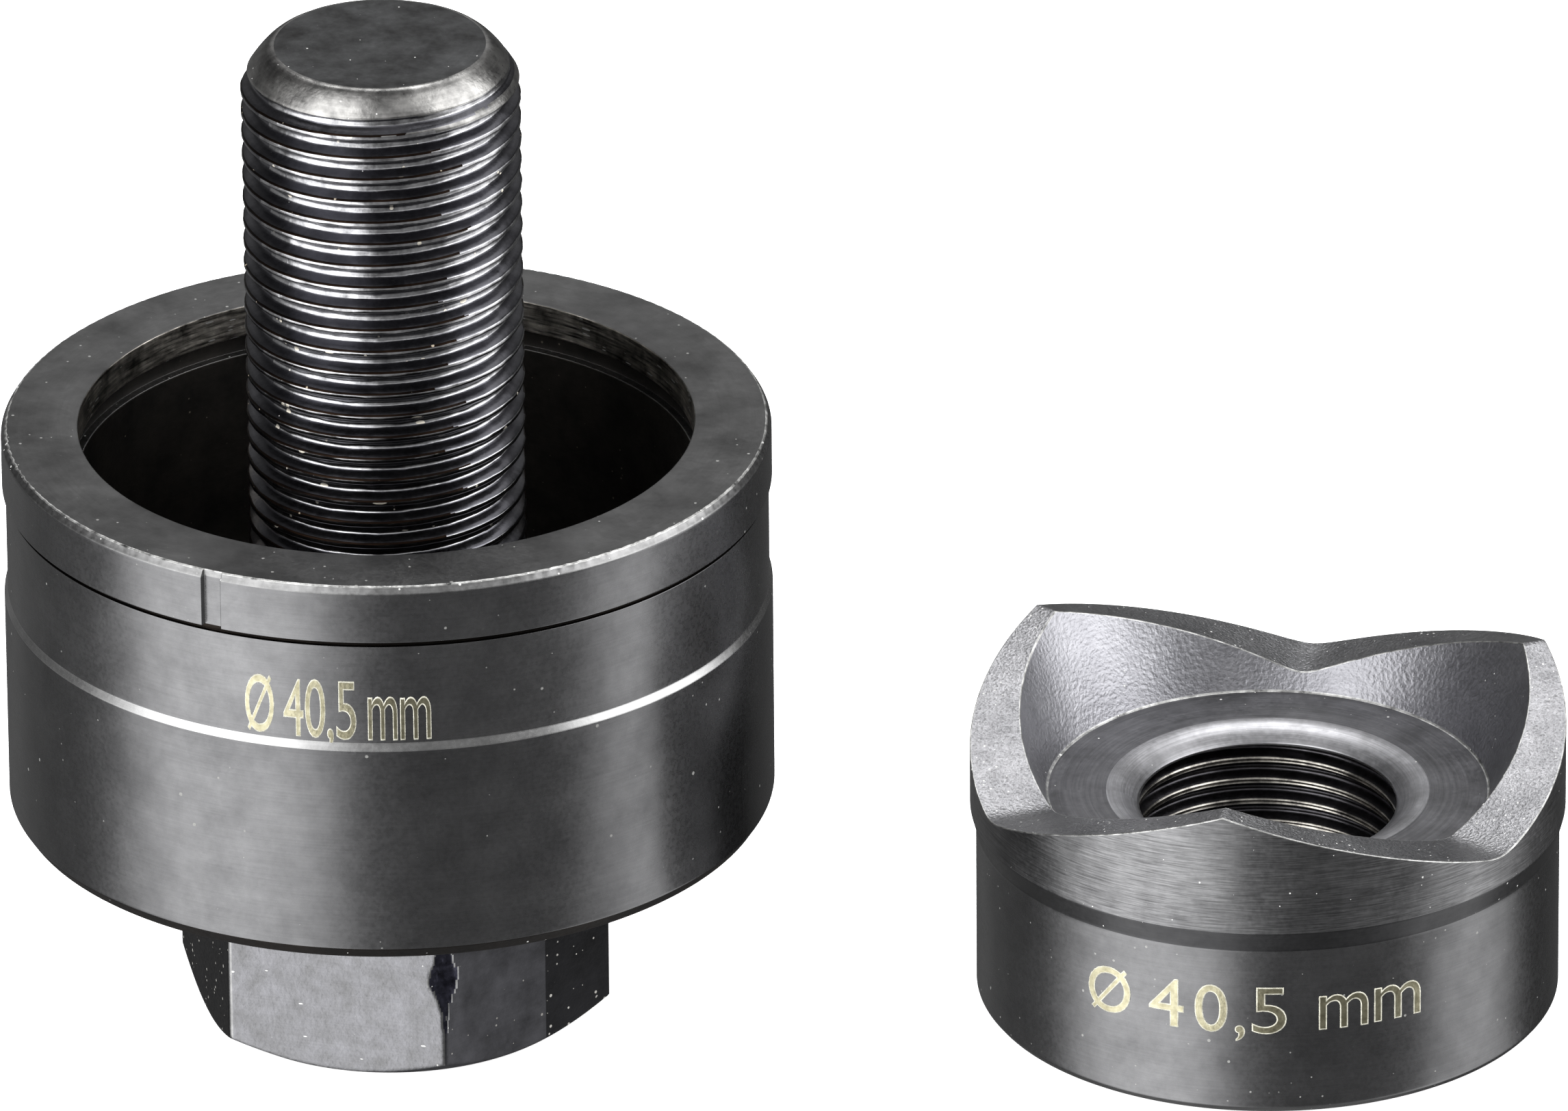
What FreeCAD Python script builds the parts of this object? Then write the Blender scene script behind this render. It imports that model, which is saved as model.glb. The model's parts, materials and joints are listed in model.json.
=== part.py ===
import FreeCAD, Part
import math
import os
import Sketcher

# Knockout punch for round holes in sheet metal: a cup-shaped die standing on
# the hex head of its draw bolt, and the three-tipped punch standing beside it.
# Frame: origin at the centre of the head's bottom face, +Z up the bolt,
# +X towards the punch. Lengths in millimetres, angles in degrees.

os.makedirs("parts", exist_ok=True)
doc = FreeCAD.newDocument("knockout_punch")

# name, value or formula, what it measures
SIZES = [
    # draw bolt, 3/4 inch thread, 16 turns to the inch
    ("head_height", "15.0", "hex head, foot to seat"),
    ("head_flats", "26.5", "across the flats, for a 27 mm wrench"),
    ("head_turn", "44.0", "direction of one head corner from +X"),
    ("crown_dia", "26.3", "round flat left by the foot's crown"),
    ("crown_angle", "33.0", "slope of the crown"),
    ("worn_depth", "1.05", "bite out of the worn corner at the seat"),
    ("worn_start", "1.2", "height where the bite begins"),
    ("guide_dia", "19.05", "plain shank that turns in the die"),
    ("thread_dia", "18.84", "over the thread crests"),
    ("bolt_length", "70.6", "foot to tip"),
    ("tip_dia", "14.4", "flat on the tip"),
    ("tip_rise", "2.2", "height of the tip's bevel"),
    ("guide_spare", "1.5", "plain shank above the die's floor"),
    ("runout_dia", "16.8", "groove where the thread runs out"),
    ("runout_wide", "0.8", "flat floor of that groove"),
    ("runout_side", "0.5", "height of each of its sloping sides"),
    ("head_radius", "=head_flats / 2 / cos(30deg)", "axis to a corner"),
    ("crown_radius", "=crown_dia / 2", ""),
    ("crown_out", "=head_radius + 1", ""),
    ("crown_rise", "=(crown_out - crown_radius) * tan(crown_angle * 1deg)", ""),
    ("worn_top", "=head_radius - worn_depth", ""),
    ("worn_over", "=head_height + 1", ""),
    ("worn_in", "=head_radius - worn_depth * (worn_over - worn_start)"
                " / (head_height - worn_start)", ""),
    ("worn_width", "=worn_depth * 6", ""),
    ("guide_radius", "=guide_dia / 2", ""),
    ("thread_radius", "=thread_dia / 2", ""),
    ("tip_radius", "=tip_dia / 2", ""),
    ("guide_high", "=head_height + floor_thick + guide_spare", ""),
    ("runout_radius", "=runout_dia / 2", ""),
    ("runout_low", "=guide_high + runout_side", ""),
    ("runout_high", "=runout_low + runout_wide", ""),
    ("thread_low", "=runout_high + runout_side", ""),
    ("thread_high", "=bolt_length - tip_rise", ""),
    # die, one turned cup
    ("die_dia", "52.0", "outside of the body"),
    ("neck_dia", "51.54", "outside of the neck under the collar"),
    ("die_height", "27.7", "base to top face"),
    ("base_break", "0.9", "bevel round the base"),
    ("step_rise", "0.55", "height of the bevel between body and neck"),
    ("step_above", "15.6", "body edge above the base"),
    ("collar_height", "4.05", "collar, top face to its underside"),
    ("rim_break", "0.3", "radial size of the collar's bevel"),
    ("rim_drop", "0.5", "height of the collar's bevel"),
    ("bore_dia", "41.6", "shearing edge"),
    ("land_height", "2.25", "ground land below the shearing edge"),
    ("relief_height", "1.35", "groove below the land"),
    ("relief_depth", "0.6", "how far the groove goes into the wall"),
    ("floor_thick", "9.0", "floor the bolt passes through"),
    ("cup_fillet", "1.2", "bend between wall and floor"),
    ("bolt_play", "0.08", "radial clearance round the bolt"),
    ("mouth_break", "0.5", "bevel at both ends of the bolt's hole"),
    ("notch_width", "1.4", "registration notch through the collar"),
    ("notch_at", "244.5", "direction of the notch from +X"),
    ("base_z", "=head_height", ""),
    ("base_high", "=base_z + base_break", ""),
    ("die_radius", "=die_dia / 2", ""),
    ("base_radius", "=die_radius - base_break", ""),
    ("neck_radius", "=neck_dia / 2", ""),
    ("step_low", "=base_z + step_above", ""),
    ("step_high", "=step_low + step_rise", ""),
    ("die_top", "=base_z + die_height", ""),
    ("collar_low", "=die_top - collar_height", ""),
    ("rim_low", "=die_top - rim_drop", ""),
    ("rim_radius", "=die_radius - rim_break", ""),
    ("bore_radius", "=bore_dia / 2", ""),
    ("cup_floor", "=base_z + floor_thick", ""),
    ("cup_depth", "=die_top - cup_floor", ""),
    ("land_low", "=die_top - land_height", ""),
    ("relief_low", "=land_low - relief_height", ""),
    ("relief_radius", "=bore_radius + relief_depth", ""),
    ("relief_out", "=bore_radius - 1", ""),
    ("hole_radius", "=guide_radius + bolt_play", ""),
    ("hole_mouth", "=hole_radius + mouth_break", ""),
    ("mouth_low", "=base_z + mouth_break", ""),
    ("mouth_high", "=cup_floor - mouth_break", ""),
    ("notch_in", "=rim_radius - 0.1", ""),
    ("notch_out", "=die_radius + 1", ""),
    ("notch_half", "=notch_width / 2", ""),
    ("notch_drop", "=collar_height", ""),
    # punch, one piece with a hollow-ground three-tipped rim
    ("punch_at", "59.5", "distance of the punch's axis from the bolt's"),
    ("punch_dia", "40.5", "cutting band, the marked size"),
    ("skirt_dia", "39.68", "lower body"),
    ("tip_height", "22.4", "foot to the three tips"),
    ("first_tip", "20.5", "direction of the first tip from +X"),
    ("ramp", "0.1135", "rise of the ramps for each degree of turn"),
    ("valley_round", "3.2", "half width of the rounded valley, degrees"),
    ("skirt_high", "12.3", "top of the lower body"),
    ("band_low", "13.8", "bottom of the cutting band"),
    ("foot_break", "0.4", "bevel round the foot, radial"),
    ("foot_rise", "0.5", "height of that bevel"),
    ("dish_floor", "14.65", "height of the spot-faced floor"),
    ("dish_dia", "30.1", "diameter of that floor"),
    ("dish_angle", "24.6", "slope of the dish wall from the axis"),
    ("tap_dia", "17.5", "thread crests in the punch's hole"),
    ("sink_dia", "20.1", "countersink at both ends of the hole"),
    ("blank_top", "=tip_height + 0.2", ""),
    ("punch_radius", "=punch_dia / 2", ""),
    ("skirt_radius", "=skirt_dia / 2", ""),
    ("foot_radius", "=skirt_radius - foot_break", ""),
    ("dish_radius", "=dish_dia / 2", ""),
    ("dish_over", "=blank_top + 1", ""),
    ("dish_wide", "=dish_radius + (dish_over - dish_floor)"
                  " * tan(dish_angle * 1deg)", ""),
    ("tap_radius", "=tap_dia / 2", ""),
    ("sink_radius", "=sink_dia / 2", ""),
    ("sink_depth", "=sink_radius - tap_radius", ""),
    ("sink_low", "=dish_floor - sink_depth", ""),
    ("cutter_in", "=dish_radius - 2", ""),
    ("cutter_out", "=punch_radius + 2", ""),
    ("cutter_top", "=blank_top + 2", ""),
    ("valley_base", "=tip_height - ramp * sqrt(60 * 60"
                    " + valley_round * valley_round)", ""),
]

sheet = doc.addObject("Spreadsheet::Sheet", "dims")
for row, (name, text, about) in enumerate(SIZES, start=1):
    sheet.set("A%d" % row, name)
    sheet.set("B%d" % row, text)
    sheet.set("C%d" % row, about)
    sheet.setAlias("B%d" % row, name)
doc.recompute()


def size(name):
    """The value now in a named cell, as a plain number."""
    value = sheet.get(name)
    return float(getattr(value, "Value", value))


def origin_plane(body, role):
    """One of the body's own origin planes or axes."""
    for item in body.Origin.OriginFeatures:
        if item.Role == role:
            return item
    raise ValueError(role)


def new_sketch(body, name, role="XZ_Plane"):
    """An empty sketch on one of the body's origin planes."""
    sketch = body.newObject("Sketcher::SketchObject", name)
    sketch.AttachmentSupport = [(origin_plane(body, role), "")]
    sketch.MapMode = "FlatFace"
    return sketch


def outline(sketch, points):
    """Closed polygon whose corners are pairs of cell names ("0" is on an axis)."""
    spots = []
    for across, along in points:
        x = 0.0 if across == "0" else size(across)
        y = 0.0 if along == "0" else size(along)
        spots.append(FreeCAD.Vector(x, y, 0))
    count = len(spots)
    for i in range(count):
        sketch.addGeometry(Part.LineSegment(spots[i], spots[(i + 1) % count]), False)
    for i in range(count):
        sketch.addConstraint(Sketcher.Constraint("Coincident", i, 2, (i + 1) % count, 1))
    for i, (across, along) in enumerate(points):
        for kind, word, axis, value in (
            ("DistanceX", across, -2, spots[i].x),
            ("DistanceY", along, -1, spots[i].y),
        ):
            if word == "0":
                sketch.addConstraint(Sketcher.Constraint("PointOnObject", i, 1, axis))
                continue
            rule = Sketcher.Constraint(kind, -1, 1, i, 1, value)
            number = sketch.addConstraint(rule)
            sketch.setExpression("Constraints[%d]" % number, "dims." + word)


def ring(sketch, radius):
    """Circle about the sketch's origin with its radius from a named cell."""
    circle = Part.Circle(FreeCAD.Vector(0, 0, 0), FreeCAD.Vector(0, 0, 1), size(radius))
    sketch.addGeometry(circle, False)
    sketch.addConstraint(Sketcher.Constraint("Coincident", 0, 3, -1, 1))
    number = sketch.addConstraint(Sketcher.Constraint("Radius", 0, size(radius)))
    sketch.setExpression("Constraints[%d]" % number, "dims." + radius)


def lift(sketch, height):
    """Raise a sketch along its own normal by a formula."""
    sketch.setExpression(".AttachmentOffset.Base.z", height)


def swing(sketch, angle):
    """Turn an upright sketch about the vertical by a formula in degrees."""
    place = FreeCAD.Placement()
    place.Rotation = FreeCAD.Rotation(FreeCAD.Vector(0, 1, 0), 10)
    sketch.AttachmentOffset = place
    sketch.setExpression(".AttachmentOffset.Rotation.Angle", "(%s) * 1deg" % angle)


def turned(body, kind, name, sketch):
    """Full turn of an upright profile about the vertical axis."""
    item = body.newObject("PartDesign::" + kind, name)
    item.Profile = sketch
    item.ReferenceAxis = (sketch, ["V_Axis"])
    item.Angle = 360
    sketch.Visibility = False
    return item


def make_die():
    """Turned cup: body, neck and collar, ground land, relief, bolt hole, notch."""
    body = doc.addObject("PartDesign::Body", "die")
    body.Label = "die"

    wall = new_sketch(body, "die_wall")
    outline(wall, [
        ("0", "base_z"),
        ("base_radius", "base_z"),
        ("die_radius", "base_high"),
        ("die_radius", "step_low"),
        ("neck_radius", "step_high"),
        ("neck_radius", "collar_low"),
        ("die_radius", "collar_low"),
        ("die_radius", "rim_low"),
        ("rim_radius", "die_top"),
        ("0", "die_top"),
    ])
    turned(body, "Revolution", "die_blank", wall)

    # the cup that takes the slug, bored down from the top face
    mouth = new_sketch(body, "cup_circle", "XY_Plane")
    lift(mouth, "dims.die_top")
    ring(mouth, "bore_radius")
    cup = body.newObject("PartDesign::Pocket", "cup")
    cup.Profile = mouth
    cup.setExpression("Length", "dims.cup_depth")
    doc.recompute()

    # the bend at the foot of the wall, on the one edge at that height and size
    foot = size("cup_floor")
    for number, edge in enumerate(cup.Shape.Edges, start=1):
        low = edge.BoundBox
        at_floor = abs(low.ZMin - foot) < 0.01 and abs(low.ZMax - foot) < 0.01
        if at_floor and abs(low.XLength - size("bore_dia")) < 0.01:
            bend = body.newObject("PartDesign::Fillet", "cup_bend")
            bend.Base = (cup, ["Edge%d" % number])
            bend.setExpression("Radius", "dims.cup_fillet")
            break

    # relief groove that lets the slug drop once it has passed the land
    slot = new_sketch(body, "relief_section")
    outline(slot, [
        ("relief_out", "relief_low"),
        ("relief_radius", "relief_low"),
        ("relief_radius", "land_low"),
        ("relief_out", "land_low"),
    ])
    turned(body, "Groove", "relief", slot)

    # hole for the bolt with a bevel at each mouth
    hole = new_sketch(body, "bolt_hole_section")
    outline(hole, [
        ("0", "base_z"),
        ("hole_mouth", "base_z"),
        ("hole_radius", "mouth_low"),
        ("hole_radius", "mouth_high"),
        ("hole_mouth", "cup_floor"),
        ("0", "cup_floor"),
    ])
    turned(body, "Groove", "bolt_hole", hole)

    # notch through the collar, its floor level with the neck
    mark = new_sketch(body, "notch_section")
    swing(mark, "dims.notch_at")
    outline(mark, [
        ("notch_in", "collar_low"),
        ("notch_out", "collar_low"),
        ("notch_out", "die_top"),
        ("notch_in", "die_top"),
    ])
    notch = body.newObject("PartDesign::Pocket", "notch")
    notch.Profile = mark
    notch.Midplane = True
    notch.setExpression("Length", "dims.notch_width")
    mark.Visibility = False
    return body


def make_draw_bolt():
    """Hex head with a crowned foot and a worn corner, plain guide, threaded shank."""
    body = doc.addObject("PartDesign::Body", "draw_bolt")
    body.Label = "draw_bolt"

    flats = new_sketch(body, "head_hexagon", "XY_Plane")
    reach = size("head_radius")
    turn = size("head_turn")
    corners = []
    for i in range(6):
        a = math.radians(turn + 60 * i)
        corners.append(FreeCAD.Vector(reach * math.cos(a), reach * math.sin(a), 0))
    for i in range(6):
        flats.addGeometry(Part.LineSegment(corners[i], corners[(i + 1) % 6]), False)
    up = FreeCAD.Vector(0, 0, 1)
    flats.addGeometry(Part.Circle(FreeCAD.Vector(0, 0, 0), up, reach), True)
    for i in range(6):
        flats.addConstraint(Sketcher.Constraint("Coincident", i, 2, (i + 1) % 6, 1))
    flats.addConstraint(Sketcher.Constraint("Coincident", 6, 3, -1, 1))
    for i in range(6):
        flats.addConstraint(Sketcher.Constraint("PointOnObject", i, 1, 6))
    for i in range(1, 6):
        flats.addConstraint(Sketcher.Constraint("Equal", 0, i))
    number = flats.addConstraint(Sketcher.Constraint("Radius", 6, reach))
    flats.setExpression("Constraints[%d]" % number, "dims.head_radius")
    lean = Sketcher.Constraint("Angle", 0, math.radians(turn + 120))
    number = flats.addConstraint(lean)
    flats.setExpression("Constraints[%d]" % number, "dims.head_turn + 120")
    head = body.newObject("PartDesign::Pad", "head")
    head.Profile = flats
    head.setExpression("Length", "dims.head_height")
    flats.Visibility = False

    # crown: a cone that takes the corners off the foot
    cone = new_sketch(body, "crown_section")
    outline(cone, [
        ("crown_radius", "0"),
        ("crown_out", "0"),
        ("crown_out", "crown_rise"),
    ])
    turned(body, "Groove", "crown", cone)

    # the front corner is worn back in a wedge that widens towards the seat
    bite = new_sketch(body, "worn_section")
    swing(bite, "dims.head_turn + 240")
    outline(bite, [
        ("head_radius", "worn_start"),
        ("crown_out", "worn_start"),
        ("crown_out", "worn_over"),
        ("worn_in", "worn_over"),
    ])
    worn = body.newObject("PartDesign::Pocket", "worn_corner")
    worn.Profile = bite
    worn.Midplane = True
    worn.setExpression("Length", "dims.worn_width")
    bite.Visibility = False

    stem = new_sketch(body, "shank_section")
    outline(stem, [
        ("0", "head_height"),
        ("guide_radius", "head_height"),
        ("guide_radius", "guide_high"),
        ("runout_radius", "runout_low"),
        ("runout_radius", "runout_high"),
        ("thread_radius", "thread_low"),
        ("thread_radius", "thread_high"),
        ("tip_radius", "bolt_length"),
        ("0", "bolt_length"),
    ])
    turned(body, "Revolution", "shank", stem)
    return body


def ramp_section(body, number, angle):
    """Upright cutter section at an angle from the valley, resting on the ramp."""
    sketch = new_sketch(body, "ramp_section_%02d" % number)
    swing(sketch, "dims.first_tip + 60 + (%g)" % angle)
    soft = "sqrt(%g + dims.valley_round * dims.valley_round)" % (angle * angle)
    rest = "dims.valley_base + dims.ramp * " + soft
    low = size("valley_base")
    low += size("ramp") * math.hypot(angle, size("valley_round"))
    inner = size("cutter_in")
    outer = size("cutter_out")
    high = size("cutter_top")
    box = [(inner, low), (outer, low), (outer, high), (inner, high)]
    box = [FreeCAD.Vector(x, y, 0) for x, y in box]
    for i in range(4):
        sketch.addGeometry(Part.LineSegment(box[i], box[(i + 1) % 4]), False)
    for i in range(4):
        sketch.addConstraint(Sketcher.Constraint("Coincident", i, 2, (i + 1) % 4, 1))
    sketch.addConstraint(Sketcher.Constraint("Horizontal", 0))
    sketch.addConstraint(Sketcher.Constraint("Vertical", 1))
    sketch.addConstraint(Sketcher.Constraint("Horizontal", 2))
    sketch.addConstraint(Sketcher.Constraint("Vertical", 3))
    for kind, corner, value, formula in (
        ("DistanceX", 0, inner, "dims.cutter_in"),
        ("DistanceY", 0, low, rest),
        ("DistanceX", 2, outer, "dims.cutter_out"),
        ("DistanceY", 2, high, "dims.cutter_top"),
    ):
        rule = Sketcher.Constraint(kind, -1, 1, corner, 1, value)
        place = sketch.addConstraint(rule)
        sketch.setExpression("Constraints[%d]" % place, formula)
    sketch.Visibility = False
    return sketch


def make_punch():
    """Stepped body, hollow dish, tapped hole, and the rim's three helical scallops."""
    body = doc.addObject("PartDesign::Body", "punch")
    body.Label = "punch"

    wall = new_sketch(body, "punch_wall")
    outline(wall, [
        ("0", "0"),
        ("foot_radius", "0"),
        ("skirt_radius", "foot_rise"),
        ("skirt_radius", "skirt_high"),
        ("punch_radius", "band_low"),
        ("punch_radius", "blank_top"),
        ("0", "blank_top"),
    ])
    turned(body, "Revolution", "punch_blank", wall)

    hollow = new_sketch(body, "dish_section")
    outline(hollow, [
        ("0", "dish_floor"),
        ("dish_radius", "dish_floor"),
        ("dish_wide", "dish_over"),
        ("0", "dish_over"),
    ])
    turned(body, "Groove", "dish", hollow)

    # tapped hole for the bolt, countersunk at both ends
    hole = new_sketch(body, "tapped_section")
    outline(hole, [
        ("0", "0"),
        ("sink_radius", "0"),
        ("tap_radius", "sink_depth"),
        ("tap_radius", "sink_low"),
        ("sink_radius", "dish_floor"),
        ("0", "dish_floor"),
    ])
    turned(body, "Groove", "tapped_hole", hole)

    # One scallop is a ramp down to a rounded valley and up again. Its floor is
    # level along every radius, and rises in step with the turn on each side, so
    # each flank is a helical surface and neighbours meet in a sharp radial tip.
    steps = [2, 4, 7, 11, 16, 22, 29, 36, 43, 50, 57, 64]
    angles = [-a for a in reversed(steps)] + [0] + steps
    cuts = [ramp_section(body, i, a) for i, a in enumerate(angles)]
    scallop = body.newObject("PartDesign::SubtractiveLoft", "scallop")
    scallop.Profile = cuts[0]
    scallop.Sections = [(cut, "") for cut in cuts[1:]]
    scallop.Ruled = False
    doc.recompute()

    rim = body.newObject("PartDesign::PolarPattern", "rim")
    rim.Originals = [scallop]
    rim.Axis = (origin_plane(body, "Z_Axis"), [""])
    rim.Angle = 360
    rim.Occurrences = 3
    body.Tip = rim

    body.setExpression(".Placement.Base.x", "dims.punch_at")
    return body


bodies = [make_die(), make_draw_bolt(), make_punch()]
doc.recompute()

for item in doc.Objects:
    for word in ("Invalid", "Error"):
        if word in item.State:
            raise RuntimeError("%s is %s" % (item.Name, word))

for body in bodies:
    shape = body.Shape
    if shape.isNull() or not shape.isValid():
        raise RuntimeError(body.Label + " has no valid shape")
    box = shape.BoundBox
    print(
        "%s: %d solid, %.1f mm3, x %.2f..%.2f y %.2f..%.2f z %.2f..%.2f"
        % (body.Label, len(shape.Solids), shape.Volume, box.XMin, box.XMax,
           box.YMin, box.YMax, box.ZMin, box.ZMax)
    )
    shape.exportStep(os.path.join("parts", body.Label + ".step"))
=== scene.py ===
# %% [markdown]
# # A knockout punch, its die and its draw bolt
#
# The tool cuts round holes in sheet metal. The bolt goes through the die, through a
# pilot hole in the sheet and into the punch, and turning its hexagon head pulls the
# punch's three tips through the sheet and into the die's cup. Here the die stands on
# the bolt's head, and the punch stands beside it. All three are turned steel with a
# black oxide finish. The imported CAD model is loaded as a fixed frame, and the outer
# sizes of the new pieces are read from its nodes and its mounts.

# %% Load the frame
import json
import bmesh
import bpy
import numpy as np
from mathutils import Matrix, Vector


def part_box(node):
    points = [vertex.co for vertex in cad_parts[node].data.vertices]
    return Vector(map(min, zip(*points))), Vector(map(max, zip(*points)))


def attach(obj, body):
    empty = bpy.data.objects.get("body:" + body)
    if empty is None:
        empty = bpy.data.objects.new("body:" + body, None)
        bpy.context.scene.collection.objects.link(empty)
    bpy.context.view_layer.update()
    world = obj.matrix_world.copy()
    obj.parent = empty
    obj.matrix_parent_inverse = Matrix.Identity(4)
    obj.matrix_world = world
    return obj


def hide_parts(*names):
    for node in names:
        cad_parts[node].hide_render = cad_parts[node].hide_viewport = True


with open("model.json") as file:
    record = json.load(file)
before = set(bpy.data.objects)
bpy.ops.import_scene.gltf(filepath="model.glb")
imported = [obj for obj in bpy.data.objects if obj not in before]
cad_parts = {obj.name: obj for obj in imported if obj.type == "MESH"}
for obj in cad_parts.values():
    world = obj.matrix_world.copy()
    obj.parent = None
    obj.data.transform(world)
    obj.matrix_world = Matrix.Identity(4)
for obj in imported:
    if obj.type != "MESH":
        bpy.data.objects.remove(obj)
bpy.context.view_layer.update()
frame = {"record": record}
MM = 0.001                # one millimetre in Blender's metres


def corners_of(node):
    """Lowest and highest corner of a CAD node in mm, to the nearest thousandth."""
    return np.round(np.array(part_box(node)) / MM, 3)


die_low, die_high = corners_of("die")
punch_low, punch_high = corners_of("punch")
HEAD_TOP, DIE_TOP, DIE_RADIUS = die_low[2], die_high[2], die_high[0]
BOLT_TOP, TIP_HEIGHT = corners_of("draw_bolt")[1, 2], punch_high[2]
PUNCH_X = (punch_low[0] + punch_high[0]) / 2
BAND_RADIUS = (punch_high[0] - punch_low[0]) / 2
mounts = {mount["name"]: mount for mount in frame["record"]["mounts"]}
print("die, mm:", DIE_RADIUS, HEAD_TOP, DIE_TOP, "punch, mm:", PUNCH_X, BAND_RADIUS, TIP_HEIGHT)

# %% [markdown]
# ## The camera
#
# The photograph was taken with a long lens from well above the bench, so lines that
# are parallel on the object stay nearly parallel in the picture. The camera's turn,
# height, distance and lens were fitted to the edges of the die, the bolt and the
# punch. It is aimed by a matrix of its own right, up and backward directions, because
# the picture is also rolled by half a degree.

# %% Aim the camera
azimuth, elevation, roll = np.radians([0.51, 25.825, -0.467])
target = np.array([26.751, 0.0, 32.439])      # the point it looks at, mm
distance = 1487.223                           # from that point to the lens, mm
pixels_wide, focal_pixels = 2291, 32135.151   # the picture's width, the focal length
back = np.array([np.sin(azimuth) * np.cos(elevation),
                 -np.cos(azimuth) * np.cos(elevation), np.sin(elevation)])
right = np.cross([0, 0, 1.0], back)
right /= np.linalg.norm(right)
up = np.cross(back, right)
right, up = (np.cos(roll) * right + np.sin(roll) * up,
             np.cos(roll) * up - np.sin(roll) * right)
place = np.eye(4)
place[:3, 0], place[:3, 1], place[:3, 2] = right, up, back
place[:3, 3] = (target + distance * back) * MM

lens = bpy.data.cameras.new("long_lens")
lens.sensor_fit, lens.sensor_width = "HORIZONTAL", 36.0
lens.lens = focal_pixels * lens.sensor_width / pixels_wide
lens.clip_start, lens.clip_end = 0.1, 10.0
camera = bpy.data.objects.new("camera", lens)
camera.matrix_world = Matrix(place.tolist())
bpy.context.scene.collection.objects.link(camera)
bpy.context.scene.camera = camera
print("lens, mm:", round(lens.lens, 1))

# %% [markdown]
# ## Grids into meshes
#
# Every turned piece here is a grid: rows along a line, columns round an axis. Writing
# the grid once, as whole arrays, is quicker than adding vertices one by one, and
# keeps the faces in neat quads. A thread is the same grid with a twist, so its last
# column meets its first one some rows further up. Where rows shrink to a point or lie
# on each other, merging the doubles closes the surface.

# %% Turn a grid of points into faces
def grid_faces(rows, columns, closed=False, shift=0):
    """Quads (i,j) (i,j+1) (i+1,j+1) (i+1,j), columns going round counterclockwise and
    rows going up an outside or down a hole, so that they face out of the metal. The
    last column meets the first one `shift` rows further on; a closed grid's last row
    meets its first."""
    i, j = np.meshgrid(np.arange(rows if closed else rows - 1),
                       np.arange(columns), indexing="ij")
    wrap = np.where(j == columns - 1, shift, 0)

    def vertex(row, column):
        row = row % rows if closed else np.clip(row, 0, rows - 1)
        return row * columns + column % columns

    return np.stack([vertex(i, j), vertex(i + wrap, j + 1),
                     vertex(i + 1 + wrap, j + 1), vertex(i + 1, j)], -1).reshape(-1, 4)


print("two rows of three points make the faces", grid_faces(2, 3).tolist())

# %% [markdown]
# ## Meshes into pieces
#
# A piece may need several grids, such as a head, a thread and a tip, that end on the
# same rings. They go into one mesh, and points closer than 0.002 mm become one, which
# makes a closed skin of them. An edge that doesn't have two faces would be a hole, so
# those are counted and printed.

# %% Build a piece from its grids
MERGE = 2e-6              # metres


def show(name, mesh, open_edges):
    """Puts a mesh at the origin and prints its size: a face with n corners is n - 2
    triangles."""
    piece = bpy.data.objects.new(name, mesh)
    bpy.context.scene.collection.objects.link(piece)
    triangles = len(mesh.loops) - 2 * len(mesh.polygons)
    print(f"{name}: {triangles} triangles, {open_edges} open edges")
    return piece


def build_piece(name, grids, materials):
    """Piece from several grids. Each grid is (points rows x columns x 3 in mm, finish
    of each row gap or of each face, options for grid_faces)."""
    points, faces, finishes, start = [], [], [], 0
    for spots, finish, options in grids:
        rows, columns = spots.shape[:2]
        finish = np.asarray(finish).reshape(len(finish), -1)
        points.append(spots.reshape(-1, 3))
        faces.append(grid_faces(rows, columns, **options) + start)
        finishes.append(np.broadcast_to(finish, (len(finish), columns)).ravel())
        start += rows * columns
    points, faces = np.concatenate(points) * MM, np.concatenate(faces)
    mesh = bpy.data.meshes.new(name)
    mesh.vertices.add(len(points))
    mesh.vertices.foreach_set("co", points.astype(np.float32).ravel())
    mesh.loops.add(faces.size)
    mesh.loops.foreach_set("vertex_index", faces.astype(np.int32).ravel())
    mesh.polygons.add(len(faces))
    mesh.polygons.foreach_set("loop_start", np.arange(0, faces.size, 4, np.int32))
    mesh.polygons.foreach_set("material_index", np.concatenate(finishes).astype(np.int32))
    mesh.polygons.foreach_set("use_smooth", np.ones(len(faces), bool))
    mesh.update(calc_edges=True)
    skin = bmesh.new()
    skin.from_mesh(mesh)
    bmesh.ops.remove_doubles(skin, verts=skin.verts, dist=MERGE)
    bmesh.ops.dissolve_degenerate(skin, edges=skin.edges, dist=MERGE / 2)
    open_edges = sum(len(edge.link_faces) != 2 for edge in skin.edges)
    skin.to_mesh(mesh)
    skin.free()
    for material in materials:
        mesh.materials.append(material)
    return show(name, mesh, open_edges)


# %% [markdown]
# ## Lines with softened corners
#
# No turned edge is a perfect corner. A lathe tool leaves a tenth of a millimetre of
# roundness, and wear adds to it, and that thin round is what catches the light. A
# Bevel modifier could round the finished mesh, but each edge here needs its own
# width, so each corner of a profile is replaced by a short parabola before the
# profile is turned. One extra point stands just outside each end of it, so that
# smooth shading bends only over the round and leaves the flat or the cylinder beside
# it clean.

# %% Round the corners of a profile
MOST_CUT = 0.3            # the share of a stretch that a cut may take at each end
GUARD = 1.5               # the extra points stand this many cuts from the corner


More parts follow.
